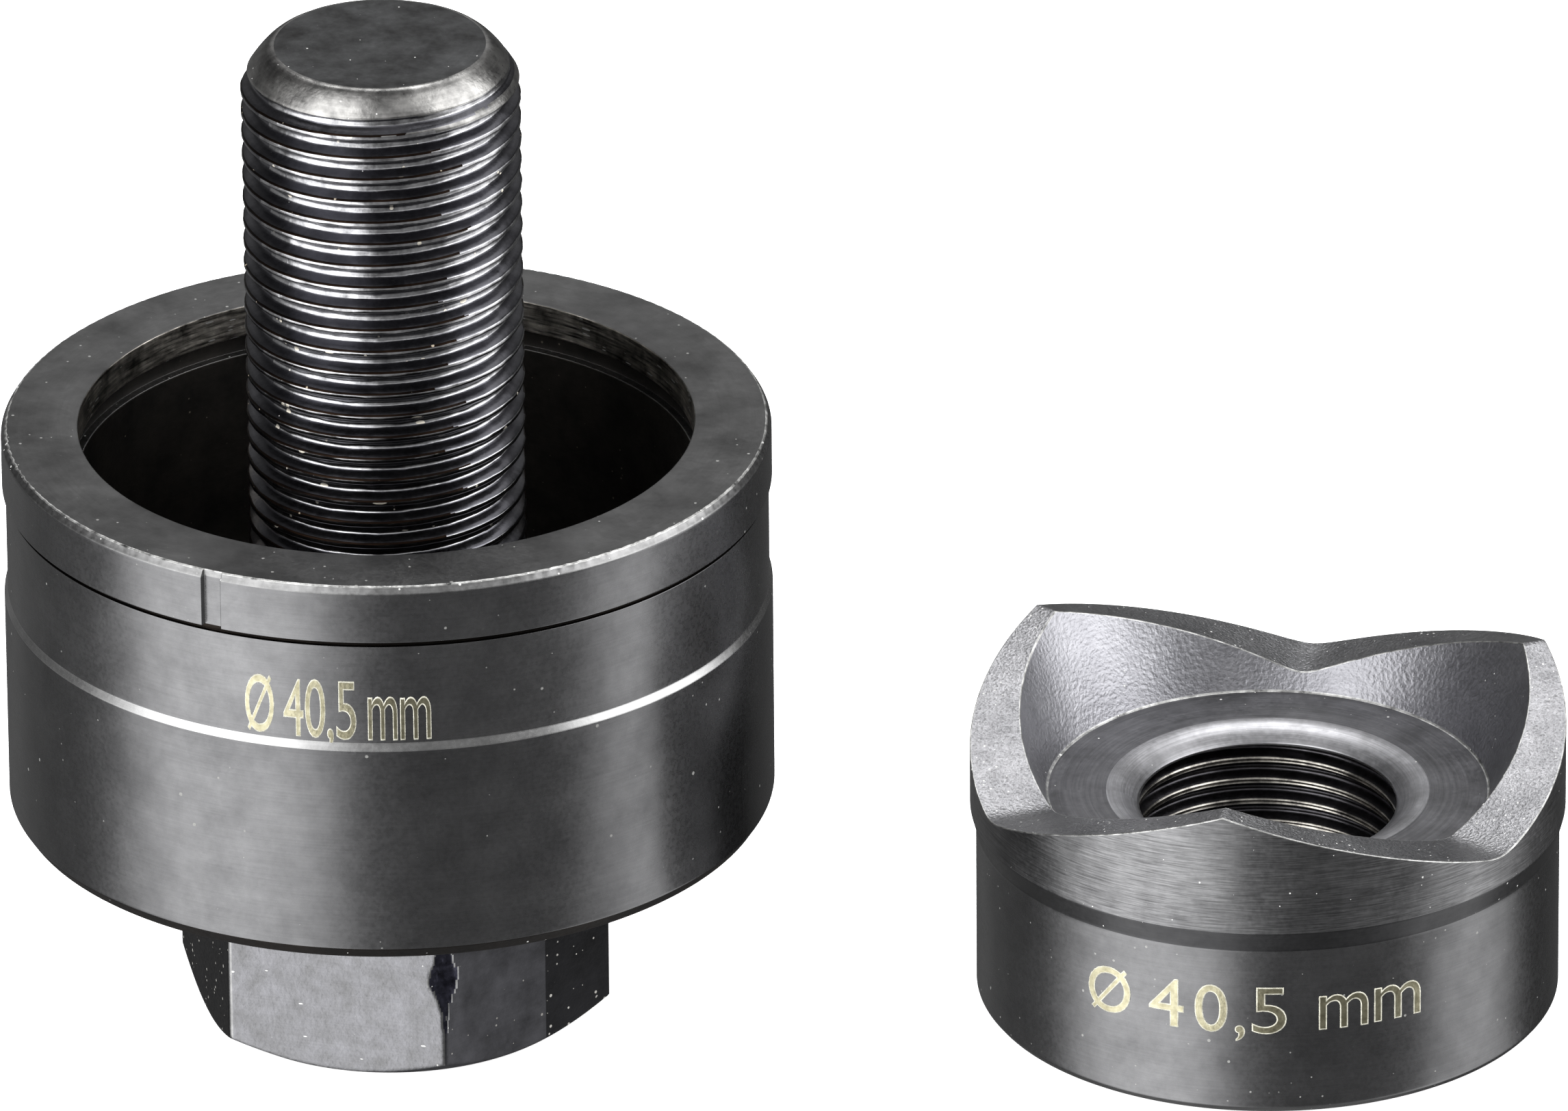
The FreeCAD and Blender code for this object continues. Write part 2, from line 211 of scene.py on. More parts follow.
def softened(corners, cuts, steps=5):
    """corners: k x n x 2 (radius, height), for k corners at n angles. Near a corner P
    the line is (1-t)^2 A + 2t(1-t) P + t^2 B, with A and B at `cut` before and after
    it. Returns the points and, for each gap between rows, the number of its stretch
    and that of the corner it rounds, or -1."""
    corners = np.asarray(corners, float)
    cuts = np.asarray(cuts, float)[:, None, None]

    def step(other):
        way = other - corners
        length = np.linalg.norm(way, axis=-1, keepdims=True)
        return way / np.maximum(length, 1e-9), np.minimum(cuts, MOST_CUT * length)

    (before, a), (after, b) = step(np.roll(corners, 1, 0)), step(np.roll(corners, -1, 0))
    t = np.linspace(0, 1, steps)[:, None, None, None]
    start, end = corners + before * a, corners + after * b
    bend = (1 - t) ** 2 * start + 2 * t * (1 - t) * corners + t ** 2 * end
    full = np.concatenate([(corners + before * a * GUARD)[None], bend,
                           (corners + after * b * GUARD)[None]])
    line = np.moveaxis(full, 0, 1).reshape(-1, *corners.shape[1:])
    count, number = len(corners), np.arange(len(line))
    place = number % (steps + 2)
    owner = number // (steps + 2) - (place < (steps + 1) / 2)
    bent = np.where((place > 0) & (place < steps), number // (steps + 2), -1)
    return line, owner % count, bent


# %% [markdown]
# ## Turned, but not quite true
#
# A lathe turns a line into a surface, and so does one function here. Worn and forged
# surfaces also wander a little from the true shape. Five sine waves added up are
# enough for that, need no random numbers, and come out the same on every run.

# %% Turn a line, and let it wander
def around(line, degrees, centre_x=0.0):
    """Rows of (radius, height) carried round an upright axis: x = c + r cos a,
    y = r sin a."""
    a = np.radians(degrees)[None, :]
    r, z = np.broadcast_arrays(line[..., 0] + 0 * a, line[..., 1] + 0 * a)
    return np.stack([centre_x + r * np.cos(a), r * np.sin(a), z], -1)


def ripple(a, b, seed):
    """A wandering value of two coordinates that stays between -1 and 1: the sum over
    k = 1..5 of sin(1.7 k a + (3.1 - 0.6 k) b + k seed) / k, over 2.3."""
    total = 0
    for k in range(1, 6):
        total = total + np.sin(a * k * 1.7 + b * (3.1 - k * 0.6) + seed * k) / k
    return total / 2.3


def between(rows):
    """Value in the middle of each gap between rows."""
    return (rows[:-1] + rows[1:]) / 2


spread = ripple(np.arange(1000.0), 0.0, 1.0)
print("the ripple runs from", round(spread.min(), 2), "to", round(spread.max(), 2))

# %% [markdown]
# ## One thread for bolt and punch
#
# The bolt has a 3/4 inch thread with 16 turns to the inch: a helix of 60 degree
# grooves with a flat at the crest and another at the root. It could be cut with a
# Screw modifier, or be a bump in the finish. Modelled in a grid that climbs with the
# helix, each crest and root runs exactly along its own rows, so its highlight is a
# clean line and not a staircase. Seen from above, each turn shows its crest and its
# root as two bright bands, and the flank between them stays dark.

# %% Shape of the thread
PITCH, THREAD_DEPTH = 25.4 / 16, 0.75     # mm
# the rest is in parts of the pitch, from the middle of the crest
CREST_HALF, CREST_ROUND, ROOT_START, ROOT_ROUND = 0.10, 0.04, 0.374, 0.06
FLANK_MIDDLE = 0.23
bends = np.concatenate([CREST_HALF + CREST_ROUND * np.arange(-1, 2), [FLANK_MIDDLE],
                        ROOT_START + ROOT_ROUND * np.arange(-1, 2)])
PHASES = np.concatenate([-bends[2::-1], bends, 1 - bends[:2:-1]])


def rising(u, half):
    """0 below, u above, with a parabola (u + h)^2 / 4h between -h and h."""
    return np.where(np.abs(u) < half, (u + half) ** 2 / (4 * half), np.maximum(u, 0))


def thread_depth(phase):
    """0 on the crest, 1 in the root, straight between them, corners rounded."""
    u = np.abs((phase + 0.5) % 1 - 0.5)
    return (rising(u - CREST_HALF, CREST_ROUND) - rising(u - ROOT_START, ROOT_ROUND)) / (
        ROOT_START - CREST_HALF)


def helix_rows(low, high, degrees, crest_at):
    """Heights of a grid that climbs with the thread: crest_at + pitch (turn + phase +
    a / 360), held between low and high; and the phase of each point. crest_at is the
    height of a crest in the +X direction."""
    first = int(np.floor((low - crest_at) / PITCH)) - 2
    turns = int(np.ceil((high - low) / PITCH)) + 4
    phase = (first + np.arange(turns)[:, None] + PHASES[None, :]).reshape(-1, 1)
    height = crest_at + PITCH * (phase + np.asarray(degrees)[None, :] / 360)
    height = np.clip(height, low, high)
    return height, (height - crest_at) / PITCH - np.asarray(degrees)[None, :] / 360


print("depth of the thread's rows, mm:", np.round(THREAD_DEPTH * thread_depth(PHASES), 2))

# %% [markdown]
# ## Colours and nodes
#
# A material here is a small network. One function adds a node, sets what it is told
# and links what it is given, so each finish below reads as a list of what it is made
# of. Colours are written the way a screen shows them and turned to linear light once.

# %% Helpers for materials
def linear(hex_colour):
    """sRGB hex to linear light: ((c + 0.055) / 1.055) ^ 2.4, or c / 12.92 when dark."""
    c = np.array([int(hex_colour[i:i + 2], 16) / 255 for i in (1, 3, 5)])
    c = np.where(c <= 0.04045, c / 12.92, ((c + 0.055) / 1.055) ** 2.4)
    return (*c.tolist(), 1.0)


def add(tree, kind, inputs=None, **settings):
    """One node. Settings are its own properties; inputs are sockets by name or
    number, each given a value or the output of another node."""
    node = tree.nodes.new("ShaderNode" + kind)
    for key, value in settings.items():
        setattr(node, key, value)
    for key, value in (inputs or {}).items():
        if isinstance(value, bpy.types.NodeSocket):
            tree.links.new(value, node.inputs[key])
        else:
            node.inputs[key].default_value = value
    return node


def new_material(name):
    """A material without nodes, and its tree."""
    material = bpy.data.materials.new(name)
    material.use_nodes = True
    material.node_tree.nodes.clear()
    return material, material.node_tree


print("middle grey in linear light:", round(linear("#808080")[0], 3))

# %% [markdown]
# ## Rings, specks and scratches
#
# A lathe leaves fine rings. They run round a wall, or round the middle of a face.
# Noise that is squeezed across the rings and stretched along them looks like that,
# and on a face it is squeezed along the radius. Handling takes the oxide off in specks
# and short scratches. Both come from a pattern of cells with one dot in each: chance
# lights a share of them, and the scratches are the same dots stretched and turned.

# %% Patterns of turned and handled steel
RING_STEPS = 1.2          # steps of the noise for each radian round a face
DOT_SLOPE = 40.0          # how sharply a dot ends, per width of its cell


def ring_place(tree, mm, on_face, size, length):
    """Coordinates for the noise of the rings. Round a wall they are (x / length,
    y / length, z / size). On a face they are (radius / size, 1.2 angle)."""
    if not on_face:
        return add(tree, "Mapping", {"Vector": mm, "Scale": (
            1 / length, 1 / length, 1 / size)}).outputs[0]
    parts = add(tree, "SeparateXYZ", {0: mm})
    flat = add(tree, "CombineXYZ", {0: parts.outputs[0], 1: parts.outputs[1]})
    radius = add(tree, "VectorMath", {0: flat.outputs[0]},
                 operation="LENGTH").outputs["Value"]
    turn = add(tree, "Math", {0: parts.outputs[1], 1: parts.outputs[0]},
               operation="ARCTAN2").outputs[0]
    along = add(tree, "Math", {0: turn, 1: RING_STEPS}, operation="MULTIPLY").outputs[0]
    across = add(tree, "Math", {0: radius, 1: 1 / size}, operation="MULTIPLY").outputs[0]
    return add(tree, "CombineXYZ", {0: across, 1: along}).outputs[0]


def scattered(tree, place, gap, share, size, handled):
    """Cells `gap` mm wide with one dot each; `share` of them are lit, and their dots
    reach up to `size` mm across, times `handled`."""
    dots = add(tree, "TexVoronoi", {"Vector": place, "Scale": 1 / gap})
    chance = add(tree, "SeparateColor", {0: dots.outputs["Color"]})
    reach = add(tree, "MapRange", {"Value": chance.outputs[0], "From Min": 1 - share,
                                   "From Max": 1.0, "To Min": 0.0,
                                   "To Max": size / gap / 2}).outputs[0]
    reach = add(tree, "Math", {0: reach, 1: handled}, operation="MULTIPLY").outputs[0]
    inside = add(tree, "Math", {0: reach, 1: dots.outputs["Distance"]},
                 operation="SUBTRACT").outputs[0]
    return add(tree, "Math", {0: inside, 1: DOT_SLOPE}, operation="MULTIPLY",
               use_clamp=True).outputs[0]


# %% [markdown]
# ## Turned steel with black oxide
#
# Black oxide is a thin layer of magnetite grown on the steel in hot salts. It keeps
# the metal's shine and only lowers it, so the finish is a dark metal, not black
# paint. What gives it away up close: the fine rings left by the lathe, cloudy
# patches where the salts worked harder, and bright specks and short scratches where
# handling has taken the layer off. All patterns are sized in millimetres: the object
# coordinates are in metres, so a Mapping node multiplies them by 1000. The rings on a
# real part are finer than a pixel here, so they are drawn at 0.09 to 0.22 mm, just
# coarse enough to show.

# %% The steel recipe
BUMP_UNIT = 0.01 * MM     # bumps are given in hundredths of a mm
LIKELY = {"From Min": 0.3, "From Max": 0.7}      # noise seldom leaves this range
WORN_AREAS = 0.22         # of them in each mm, so one in 4.5 mm
GLOSS_SWAY = 0.14         # share by which the roughness goes up and down


def steel(name, dark, light, speck="#dcdcda", centre_x=0.0, metallic=1.0, rough=0.34,
          cloud_size=3.0, grain_size=0.3, grain_bump=0.3, grain_tint=0.05, rings="wall",
          ring_size=0.12, ring_length=6.0, ring_bump=0.12, ring_tint=0.06,
          speck_share=0.5, speck_size=0.18, speck_gap=0.6, scratch_share=0.12,
          scratch_size=0.1, scratch_wide=0.0, scratch_length=0.8, scratch_gap=1.3,
          scratch_lean=(0.5, 0.9, 0.3), bare_rough=0.75, wear_least=0.3):
    """Metal clouded between the colours dark and light. Sizes, lengths and gaps are in
    mm, bumps in hundredths of a mm, tints and shares in parts of 1. rings is "wall" for
    rings round an upright wall, "face" for rings on a level face round x = centre_x, or
    "" for a wall's rings in tint alone. ring_length is how long a wall's ring keeps its
    tone. A scratch is scratch_size thick, as wide or scratch_wide, and turned by
    scratch_lean. Specks and scratches have the colour speck and the roughness
    bare_rough, and outside the worn areas they shrink to wear_least of their size."""
    material, tree = new_material(name)
    place = add(tree, "TexCoord").outputs["Object"]
    mm = add(tree, "Mapping", {"Vector": place, "Scale": (1 / MM,) * 3,
                               "Location": (-centre_x, 0, 0)}).outputs[0]
    cloud = add(tree, "TexNoise", {"Vector": mm, "Scale": 1 / cloud_size, "Detail": 5.0,
                                   "Roughness": 0.65}).outputs["Fac"]
    grain = add(tree, "TexNoise", {"Vector": mm, "Scale": 1 / grain_size,
                                   "Detail": 3.0}).outputs["Fac"]
    where = ring_place(tree, mm, rings == "face", ring_size, ring_length)
    ring = add(tree, "TexNoise", {"Vector": where, "Scale": 1.0, "Detail": 2.0,
                                  "Roughness": 0.7}).outputs["Fac"]

    # wear comes in areas, and the dots are smaller between them
    area = add(tree, "TexNoise", {"Vector": mm, "Scale": WORN_AREAS,
                                  "Detail": 1.0}).outputs["Fac"]
    handled = add(tree, "MapRange", {"Value": area, "From Min": 0.4, "From Max": 0.6,
                                     "To Min": wear_least}).outputs[0]
    specks = scattered(tree, mm, speck_gap, speck_share, speck_size, handled)
    slanted = add(tree, "Mapping", {
        "Vector": mm, "Rotation": scratch_lean,
        "Scale": (scratch_size / scratch_length,
                  scratch_size / max(scratch_wide, scratch_size), 1.0)}).outputs[0]
    scratches = scattered(tree, slanted, scratch_gap, scratch_share, scratch_size, handled)
    bare = add(tree, "Math", {0: specks, 1: scratches}, operation="MAXIMUM").outputs[0]

    # the colour: clouds, times the tint of the rings and of the grain, under the bare dots
    tone = add(tree, "MapRange", {"Value": cloud, **LIKELY}).outputs[0]
    streak = add(tree, "MapRange", {"Value": ring, **LIKELY, "To Min": 1 - ring_tint,
                                    "To Max": 1 + ring_tint}).outputs[0]
    oxide = add(tree, "Mix", {"Factor": tone, 6: linear(dark), 7: linear(light)},
                data_type="RGBA").outputs[2]
    lined = add(tree, "VectorMath", {0: oxide, 3: streak}, operation="SCALE").outputs[0]
    fleck = add(tree, "MapRange", {"Value": grain, **LIKELY, "To Min": 1 - grain_tint,
                                   "To Max": 1 + grain_tint}).outputs[0]
    grainy = add(tree, "VectorMath", {0: lined, 3: fleck}, operation="SCALE").outputs[0]
    colour = add(tree, "Mix", {"Factor": bare, 6: grainy, 7: linear(speck)},
                 data_type="RGBA").outputs[2]
    gloss = add(tree, "MapRange", {"Value": grain, "From Min": 0.25, "From Max": 0.75,
                                   "To Min": rough * (1 - GLOSS_SWAY),
                                   "To Max": rough * (1 + GLOSS_SWAY)}).outputs[0]
    worn_gloss = add(tree, "Mix", {"Factor": bare, 2: gloss, 3: bare_rough}).outputs[0]

    normal = add(tree, "Bump", {"Strength": 1.0, "Distance": grain_bump * BUMP_UNIT,
                                "Height": grain}).outputs[0]
    if rings:
        normal = add(tree, "Bump", {"Strength": 1.0, "Distance": ring_bump * BUMP_UNIT,
                                    "Height": ring, "Normal": normal}).outputs[0]
    shader = add(tree, "BsdfPrincipled", {"Base Color": colour, "Metallic": metallic,
                                          "Roughness": worn_gloss, "Normal": normal})
    add(tree, "OutputMaterial", {"Surface": shader.outputs[0]})
    return material


# %% [markdown]
# ## The die's finishes
#
# The die is one turned cup. Its outside keeps a satin finish, a little paler on neck
# and collar. The narrow bevel between body and neck is ground after blackening, so it
# shines nearly white. The top face was faced on the lathe and keeps fine rings round
# the bolt, and its outer edge is worn to a bare burr. The ring that cuts the sheet is
# ground, with streaks along its turn. The cup below it is painted almost black, with a
# little brown, as shade inside the deep cup. The groove under the collar and the
# chamfer under the base are painted near black as shade.

# %% Finishes of the die
satin = steel("black_oxide_turned_satin", "#4b4b4c", "#5d5d5e", rough=0.28,
              ring_bump=0.03, grain_bump=0.05, speck="#969694", speck_share=0.6,
              speck_size=0.28, speck_gap=0.9, cloud_size=4.0)
neck = steel("black_oxide_turned_satin_neck", "#515152", "#646465", rough=0.28,
             ring_bump=0.03, grain_bump=0.05, speck="#969694", speck_share=0.5,
             speck_size=0.24, speck_gap=0.9, cloud_size=4.0)
bevel = steel("ground_bevel_bright", "#828282", "#9c9c9c", rough=0.26, speck_share=0.2)
edge = steel("black_oxide_worn_edge", "#5f5f5f", "#7c7c7c", rough=0.3, cloud_size=1.2,
             speck_share=0.8, speck_size=0.22, speck_gap=0.5)
burr = steel("worn_bare_burr", "#363636", "#cfcfcd", rough=0.45, rings="", cloud_size=0.8,
             speck_share=0.8, speck_size=0.25, speck_gap=0.5)
# painted shade: near black in the groove under the collar and on the chamfer under the base
shaded_groove = steel("black_oxide_groove_painted_shade", "#131212", "#231f1c", rough=0.5)
faced = steel("black_oxide_faced_rings", "#3a3a3a", "#5c5c5c", rings="face", rough=0.46,
              ring_size=0.16, ring_bump=0.12, cloud_size=5.0, scratch_share=0.5,
              speck="#9c9c9a", speck_share=0.6, speck_size=0.26, speck_gap=0.7)
land = steel("ground_land_streaked", "#1a1917", "#b0aba3", ring_size=0.22, ring_bump=1.5,
             ring_tint=0.95, ring_length=3.0, rough=0.4, cloud_size=2.5,
             scratch_share=0.7, scratch_gap=0.25, scratch_size=0.2, scratch_length=1.2,
             scratch_lean=(0.0, 0.0, 0.0), scratch_wide=1.2, bare_rough=0.4)
# painted shade: the cup is near black with a little brown for the shade inside it
shaded_cup = steel("black_oxide_cup_painted_shade", "#191817", "#2e2b28", rough=0.5,
            ring_bump=0.8, speck="#6a655c", speck_share=0.5, metallic=0.8)
die_kinds = [satin, neck, bevel, edge, faced, land, shaded_cup, shaded_groove, burr]
print("finishes of the die:", [kind.name for kind in die_kinds])

# %% [markdown]
# ## The die
#
# The die could be kept as the CAD solid, whose edges are perfectly sharp. It is
# turned again here from the same sizes, because its worn edges, its bright bevel and
# its dark cup are what the eye reads first: each stretch of the profile gets its own
# finish, and each edge a small round. The line runs up the outside, across the top,
# down the bore and back under the base. Under the collar the tool left a shallow
# groove, whose near-black finish is painted shade and draws a thin dark line. The
# registration notch is a dent of 0.4 mm through the collar: its columns stand close
# together, and their radius is held to the notch's flat floor.

# %% Turn the die
NECK_RADIUS, GROOVE_RADIUS, TOP_RADIUS, COLLAR_LOW = 25.77, 25.50, 25.70, 38.65
CUTTER_RADIUS, RELIEF_RADIUS, CUP_FLOOR = 20.80, 21.40, 24.0
BOLT_HOLE, CHAMFER = 9.605, 0.50
DIE_CORNERS = [  # radius, height, cut of the edge in mm, finish of the stretch that follows
    (25.45, HEAD_TOP, 0.12, shaded_groove), (DIE_RADIUS, 15.85, 0.12, satin),
    (DIE_RADIUS, 30.60, 0.08, bevel), (NECK_RADIUS, 31.15, 0.08, neck),
    (NECK_RADIUS, 38.26, 0.04, shaded_groove), (GROOVE_RADIUS, 38.26, 0.03, shaded_groove),
    (GROOVE_RADIUS, COLLAR_LOW, 0.03, shaded_groove), (DIE_RADIUS, COLLAR_LOW, 0.07, neck),
    (DIE_RADIUS, 42.20, 0.10, edge), (TOP_RADIUS, DIE_TOP, 0.10, faced),
    (CUTTER_RADIUS, DIE_TOP, 0.10, land), (CUTTER_RADIUS, 40.45, 0.10, shaded_cup),
    (RELIEF_RADIUS, 40.45, 0.05, shaded_cup), (RELIEF_RADIUS, 39.10, 0.05, edge),
    (CUTTER_RADIUS, 39.10, 0.10, shaded_cup), (CUTTER_RADIUS, CUP_FLOOR, 1.20, shaded_cup),
    (BOLT_HOLE + CHAMFER, CUP_FLOOR, 0.10, shaded_cup), (BOLT_HOLE, CUP_FLOOR - CHAMFER, 0.10, shaded_cup),
    (BOLT_HOLE, HEAD_TOP + CHAMFER, 0.10, shaded_cup), (BOLT_HOLE + CHAMFER, HEAD_TOP, 0.10, satin),
]
NOTCH_AT, NOTCH_HALF, NOTCH_FLOOR = 244.5, 0.70, 25.60    # degrees, mm, mm
RIM_WANDER, RIM_LOSS = 0.05, 0.02                         # of the worn top edge, mm

line, stretch, bent = softened([[row[:2]] for row in DIE_CORNERS],
                               [row[2] for row in DIE_CORNERS])
steps = np.array([0.5, 0.9, 0.98, 1.02, 1.07, 1.2, 1.5])  # in halves of the notch's width
near = np.degrees(NOTCH_HALF / DIE_RADIUS) * np.concatenate([-steps[::-1], [0], steps])
degrees = np.arange(0, 360, 0.75)
degrees = degrees[np.abs(degrees - NOTCH_AT) > near[-1] + 0.2]
degrees = np.sort(np.concatenate([degrees, NOTCH_AT + near]))
points = around(line, degrees)
radius = np.hypot(points[..., 0], points[..., 1])
off = np.radians(degrees - NOTCH_AT)
floor_radius = np.where(np.abs(off) * DIE_RADIUS < NOTCH_HALF, NOTCH_FLOOR / np.cos(off), np.inf)
in_collar = points[..., 2] > COLLAR_LOW - 0.05
scale = np.where(in_collar, np.minimum(1.0, floor_radius[None, :] / radius), 1.0)
points[..., :2] *= scale[..., None]
# the worn edge between collar and top face wanders by a few hundredths of a millimetre
at_rim = (points[..., 2] > DIE_TOP - 0.4) & (scale * radius > TOP_RADIUS - 0.2)
wander = RIM_WANDER * ripple(degrees * 0.35, degrees * 0.9, 2.0) - RIM_LOSS
points[..., :2] *= (1 + at_rim * wander[None, :] / TOP_RADIUS)[..., None]

stretch_kinds = [row[3] for row in DIE_CORNERS]
finish = [die_kinds.index(stretch_kinds[number]) for number in stretch]
finish = np.where(bent == stretch_kinds.index(faced), die_kinds.index(burr), finish)
die = build_piece("die_turned", [(points, finish, {"closed": True})], die_kinds)
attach(die, "tool_set")
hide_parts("die")

# %% [markdown]
# ## The bolt's finishes
#
# The thread was rolled and blackened, which leaves it glossy. Its crests are paler,
# partly rubbed by handling and partly a painted highlight, and at the far left they keep
# the dark finish as painted shade. A dark brown line of painted shade runs along the
# upper edge of each turn, and ends on the right at an angle that wanders from turn to
# turn. The head was forged: its flats are mottled and pitted. The flat that the wrench
# has rubbed is pale. The next one is painted dark grey over a part of its width, and the
# others black, as painted shade over their black scale. The torn corner between these
# first two is dark, with a blue tinge. The tip's bevel is worn nearly bare where punches
# were started on it.

# %% Finishes of the bolt
threaded = steel("black_oxide_thread_flank", "#4c4c50", "#65656a", rough=0.22,
                 ring_bump=0.05, ring_tint=0.03, grain_bump=0.6, speck_share=0.4,
                 speck_size=0.14, speck_gap=1.0)
# painted highlight: the crests are paler, partly from handling and partly to brighten their
# highlight
crest_rubbed_and_highlit = steel("thread_crest_rubbed_painted_highlight", "#5c5c5e", "#b6b6b8", rough=0.2,
                 ring_bump=0.1, ring_tint=0.1, grain_bump=0.6, cloud_size=1.6,
                 speck="#e2dccf", speck_share=0.4, speck_size=0.5, speck_gap=0.9,
                 scratch_share=0.6, scratch_gap=0.9, scratch_size=0.5,
                 scratch_length=1.8, scratch_lean=(0.1, 0.15, 0.1), bare_rough=0.5)
# painted shade: a dark brown line along the upper edge of each turn
shade_line = steel("painted_shade_line_in_thread", "#0a0808", "#1f1610", rough=0.4, rings="",
             cloud_size=3.0, speck="#b8ad9c", speck_share=0.5, speck_size=0.3,
             speck_gap=0.7, scratch_share=0.3, scratch_gap=0.9, scratch_size=0.3,
             scratch_length=1.2, scratch_lean=(0.1, 0.3, 0.1))
rubbed = steel("forged_head_rubbed_pitted", "#5a5a5b", "#6b6b6e", rough=0.42, rings="",
               grain_size=0.3, grain_bump=3.0, grain_tint=0.07, cloud_size=1.2,
               speck="#b0b0ad", speck_share=0.3, speck_size=0.22, speck_gap=0.8,
               scratch_share=0.7, scratch_gap=0.5, scratch_size=0.16,
               scratch_length=0.9, bare_rough=0.4, wear_least=0.8)
# painted shade: nearly black for the shadowed bench under the die that these flats would mirror,
# over their forged scale
scale_and_painted_shade = steel("forged_head_black_scale_and_painted_shade", "#070708", "#1b1b1d", rough=0.5, rings="",
               grain_size=0.25, grain_bump=1.6, grain_tint=0.2, cloud_size=5.0,
               speck="#c0beb9", speck_share=0.8, speck_size=0.27, speck_gap=0.6,
               wear_least=1.0)
# a lighter painted shade, for part of the flat after the rubbed one
partly_shaded_flat = steel("forged_head_partly_painted_shade", "#232325", "#3b3b3e", rough=0.5, rings="",
                    grain_size=0.25, grain_bump=1.6, grain_tint=0.15, cloud_size=2.5,
                    speck="#9a9894", speck_share=0.7, speck_size=0.24, speck_gap=0.6)
torn = steel("forged_head_torn_corner", "#15151a", "#3a3a45", rough=0.4, rings="",
             grain_size=0.4, grain_bump=5.0, cloud_size=0.8, speck_share=0.5)
tip = steel("worn_thread_tip", "#2c2c2c", "#9d9c9a", rough=0.3, rings="face",
            ring_bump=0.3, ring_tint=0.12, cloud_size=3.2, grain_bump=1.6)
tip_face = steel("black_oxide_tip_face", "#1b1a1a", "#545556", rough=0.42, rings="face",
                 cloud_size=3.0)
bolt_kinds = [rubbed, scale_and_painted_shade, threaded, tip, tip_face, shade_line, edge, crest_rubbed_and_highlit, partly_shaded_flat, torn]
(RUBBED, SCALE_AND_SHADE, THREADED, TIP, TIP_FACE, SHADE_LINE, EDGE, CREST_RUBBED_AND_LIT, PARTLY_SHADED,
 TORN) = range(len(bolt_kinds))
print("finishes of the bolt:", [kind.name for kind in bolt_kinds])

# %% [markdown]
# ## The bolt's head
#
# A cylinder with six sides would do for a clean head. This one is forged and worn, so
# it is seen as a radius that changes round the axis: half the width across the flats
# over the cosine of the angle from the nearest flat. Its foot has a crown, a shallow
# cone that takes the corners off. The corner in front was torn by a slipping wrench:
# it is set back a little more towards the die, and most at half height. The columns
# stand close together there. A plain guide and a groove where the thread runs out
# follow above the head, hidden in the die.

# %% Forge the head
FLATS, CORNER_RADIUS, HEAD_TURN = 26.5, 15.22, 44.0       # mm, mm, degrees
CROWN_RADIUS, CROWN_RISE = 13.15, np.tan(np.radians(33))
TORN_AT, TORN_REACH = HEAD_TURN + 4 * 60, 0.4             # degrees, radians
TORN_PLANE, TORN_LOW, TORN_SEAT, TORN_RAGGED = 15.3, 1.2, 0.5, 0.06     # mm
WAIST_DEEP, WAIST_AT, WAIST_HALF = 0.33, 7.6, 1.2                       # mm
GUIDE_RADIUS, GUIDE_TOP, RUNOUT_RADIUS, THREAD_LOW = 9.525, 25.4, 8.4, 26.8
# columns in degrees from each of the hexagon's corners, and from the torn one
offsets = np.concatenate([[0, 0.3, 0.8, 1.4], np.linspace(2.1, 57.9, 28), [58.6, 59.2, 59.7]])
extra = np.array([1.1, 1.75, 2.5, 3.0, 3.5, 4.6])
bolt_degrees = np.sort(np.concatenate(
    [HEAD_TURN + offsets + 60 * k for k in range(6)] + [TORN_AT - extra, TORN_AT + extra])
    % 360)
from_flat = (bolt_degrees - HEAD_TURN) % 60 - 30
hexagon = np.minimum(FLATS / 2 / np.cos(np.radians(from_flat)), CORNER_RADIUS)
crown_top = (hexagon - CROWN_RADIUS) * CROWN_RISE


def torn_back(radius, height):
    """Radius held to a face across the torn corner. It lies 15.3 mm from the axis less
    0.5 (z - 1.2) / (15 - 1.2) + 0.33 e^-((z - 7.6) / 1.2)^2, with a ragged skin."""
    off = np.radians(bolt_degrees - TORN_AT)
    ragged = TORN_RAGGED * ripple(bolt_degrees * 0.8, height * 2.2, 3.0)
    deep = (TORN_SEAT * (height - TORN_LOW) / (HEAD_TOP - TORN_LOW)
            + WAIST_DEEP * np.exp(-((height - WAIST_AT) / WAIST_HALF) ** 2))
    held = np.minimum(radius, (TORN_PLANE - deep + ragged) / np.cos(off))
    return np.where(np.abs(off) < TORN_REACH, held, radius)


def row(radius, height):
    """One row of (radius, height); a plain number is the same all round."""
    return np.stack([radius + 0 * hexagon, height + 0 * hexagon], -1)


rows = [row(r, 0.0) for r in (0.0, 6.5, 12.9)]
FOOT_ROWS = len(rows)
for t in (0.0, 0.06, 0.3, 0.6, 0.9, 1.0):
    r = CROWN_RADIUS + (hexagon - CROWN_RADIUS) * t
    z = (r - CROWN_RADIUS) * CROWN_RISE
    rows.append(row(torn_back(r, z), z))
for t in np.concatenate([[0.02], np.linspace(0.06, 0.98, 40), [1.0]]):
    z = crown_top + (HEAD_TOP - crown_top) * t
    rows.append(row(torn_back(hexagon, z), z))
HEAD_ROWS = len(rows)
rows += [row(GUIDE_RADIUS, HEAD_TOP), row(GUIDE_RADIUS, GUIDE_TOP),
         row(GUIDE_RADIUS, GUIDE_TOP + 0.1), row(RUNOUT_RADIUS, GUIDE_TOP + 0.6),
         row(RUNOUT_RADIUS, THREAD_LOW)]
head_line = np.array(rows)
print("head, mm over its corners:", round(2 * head_line[..., 0].max(), 2))
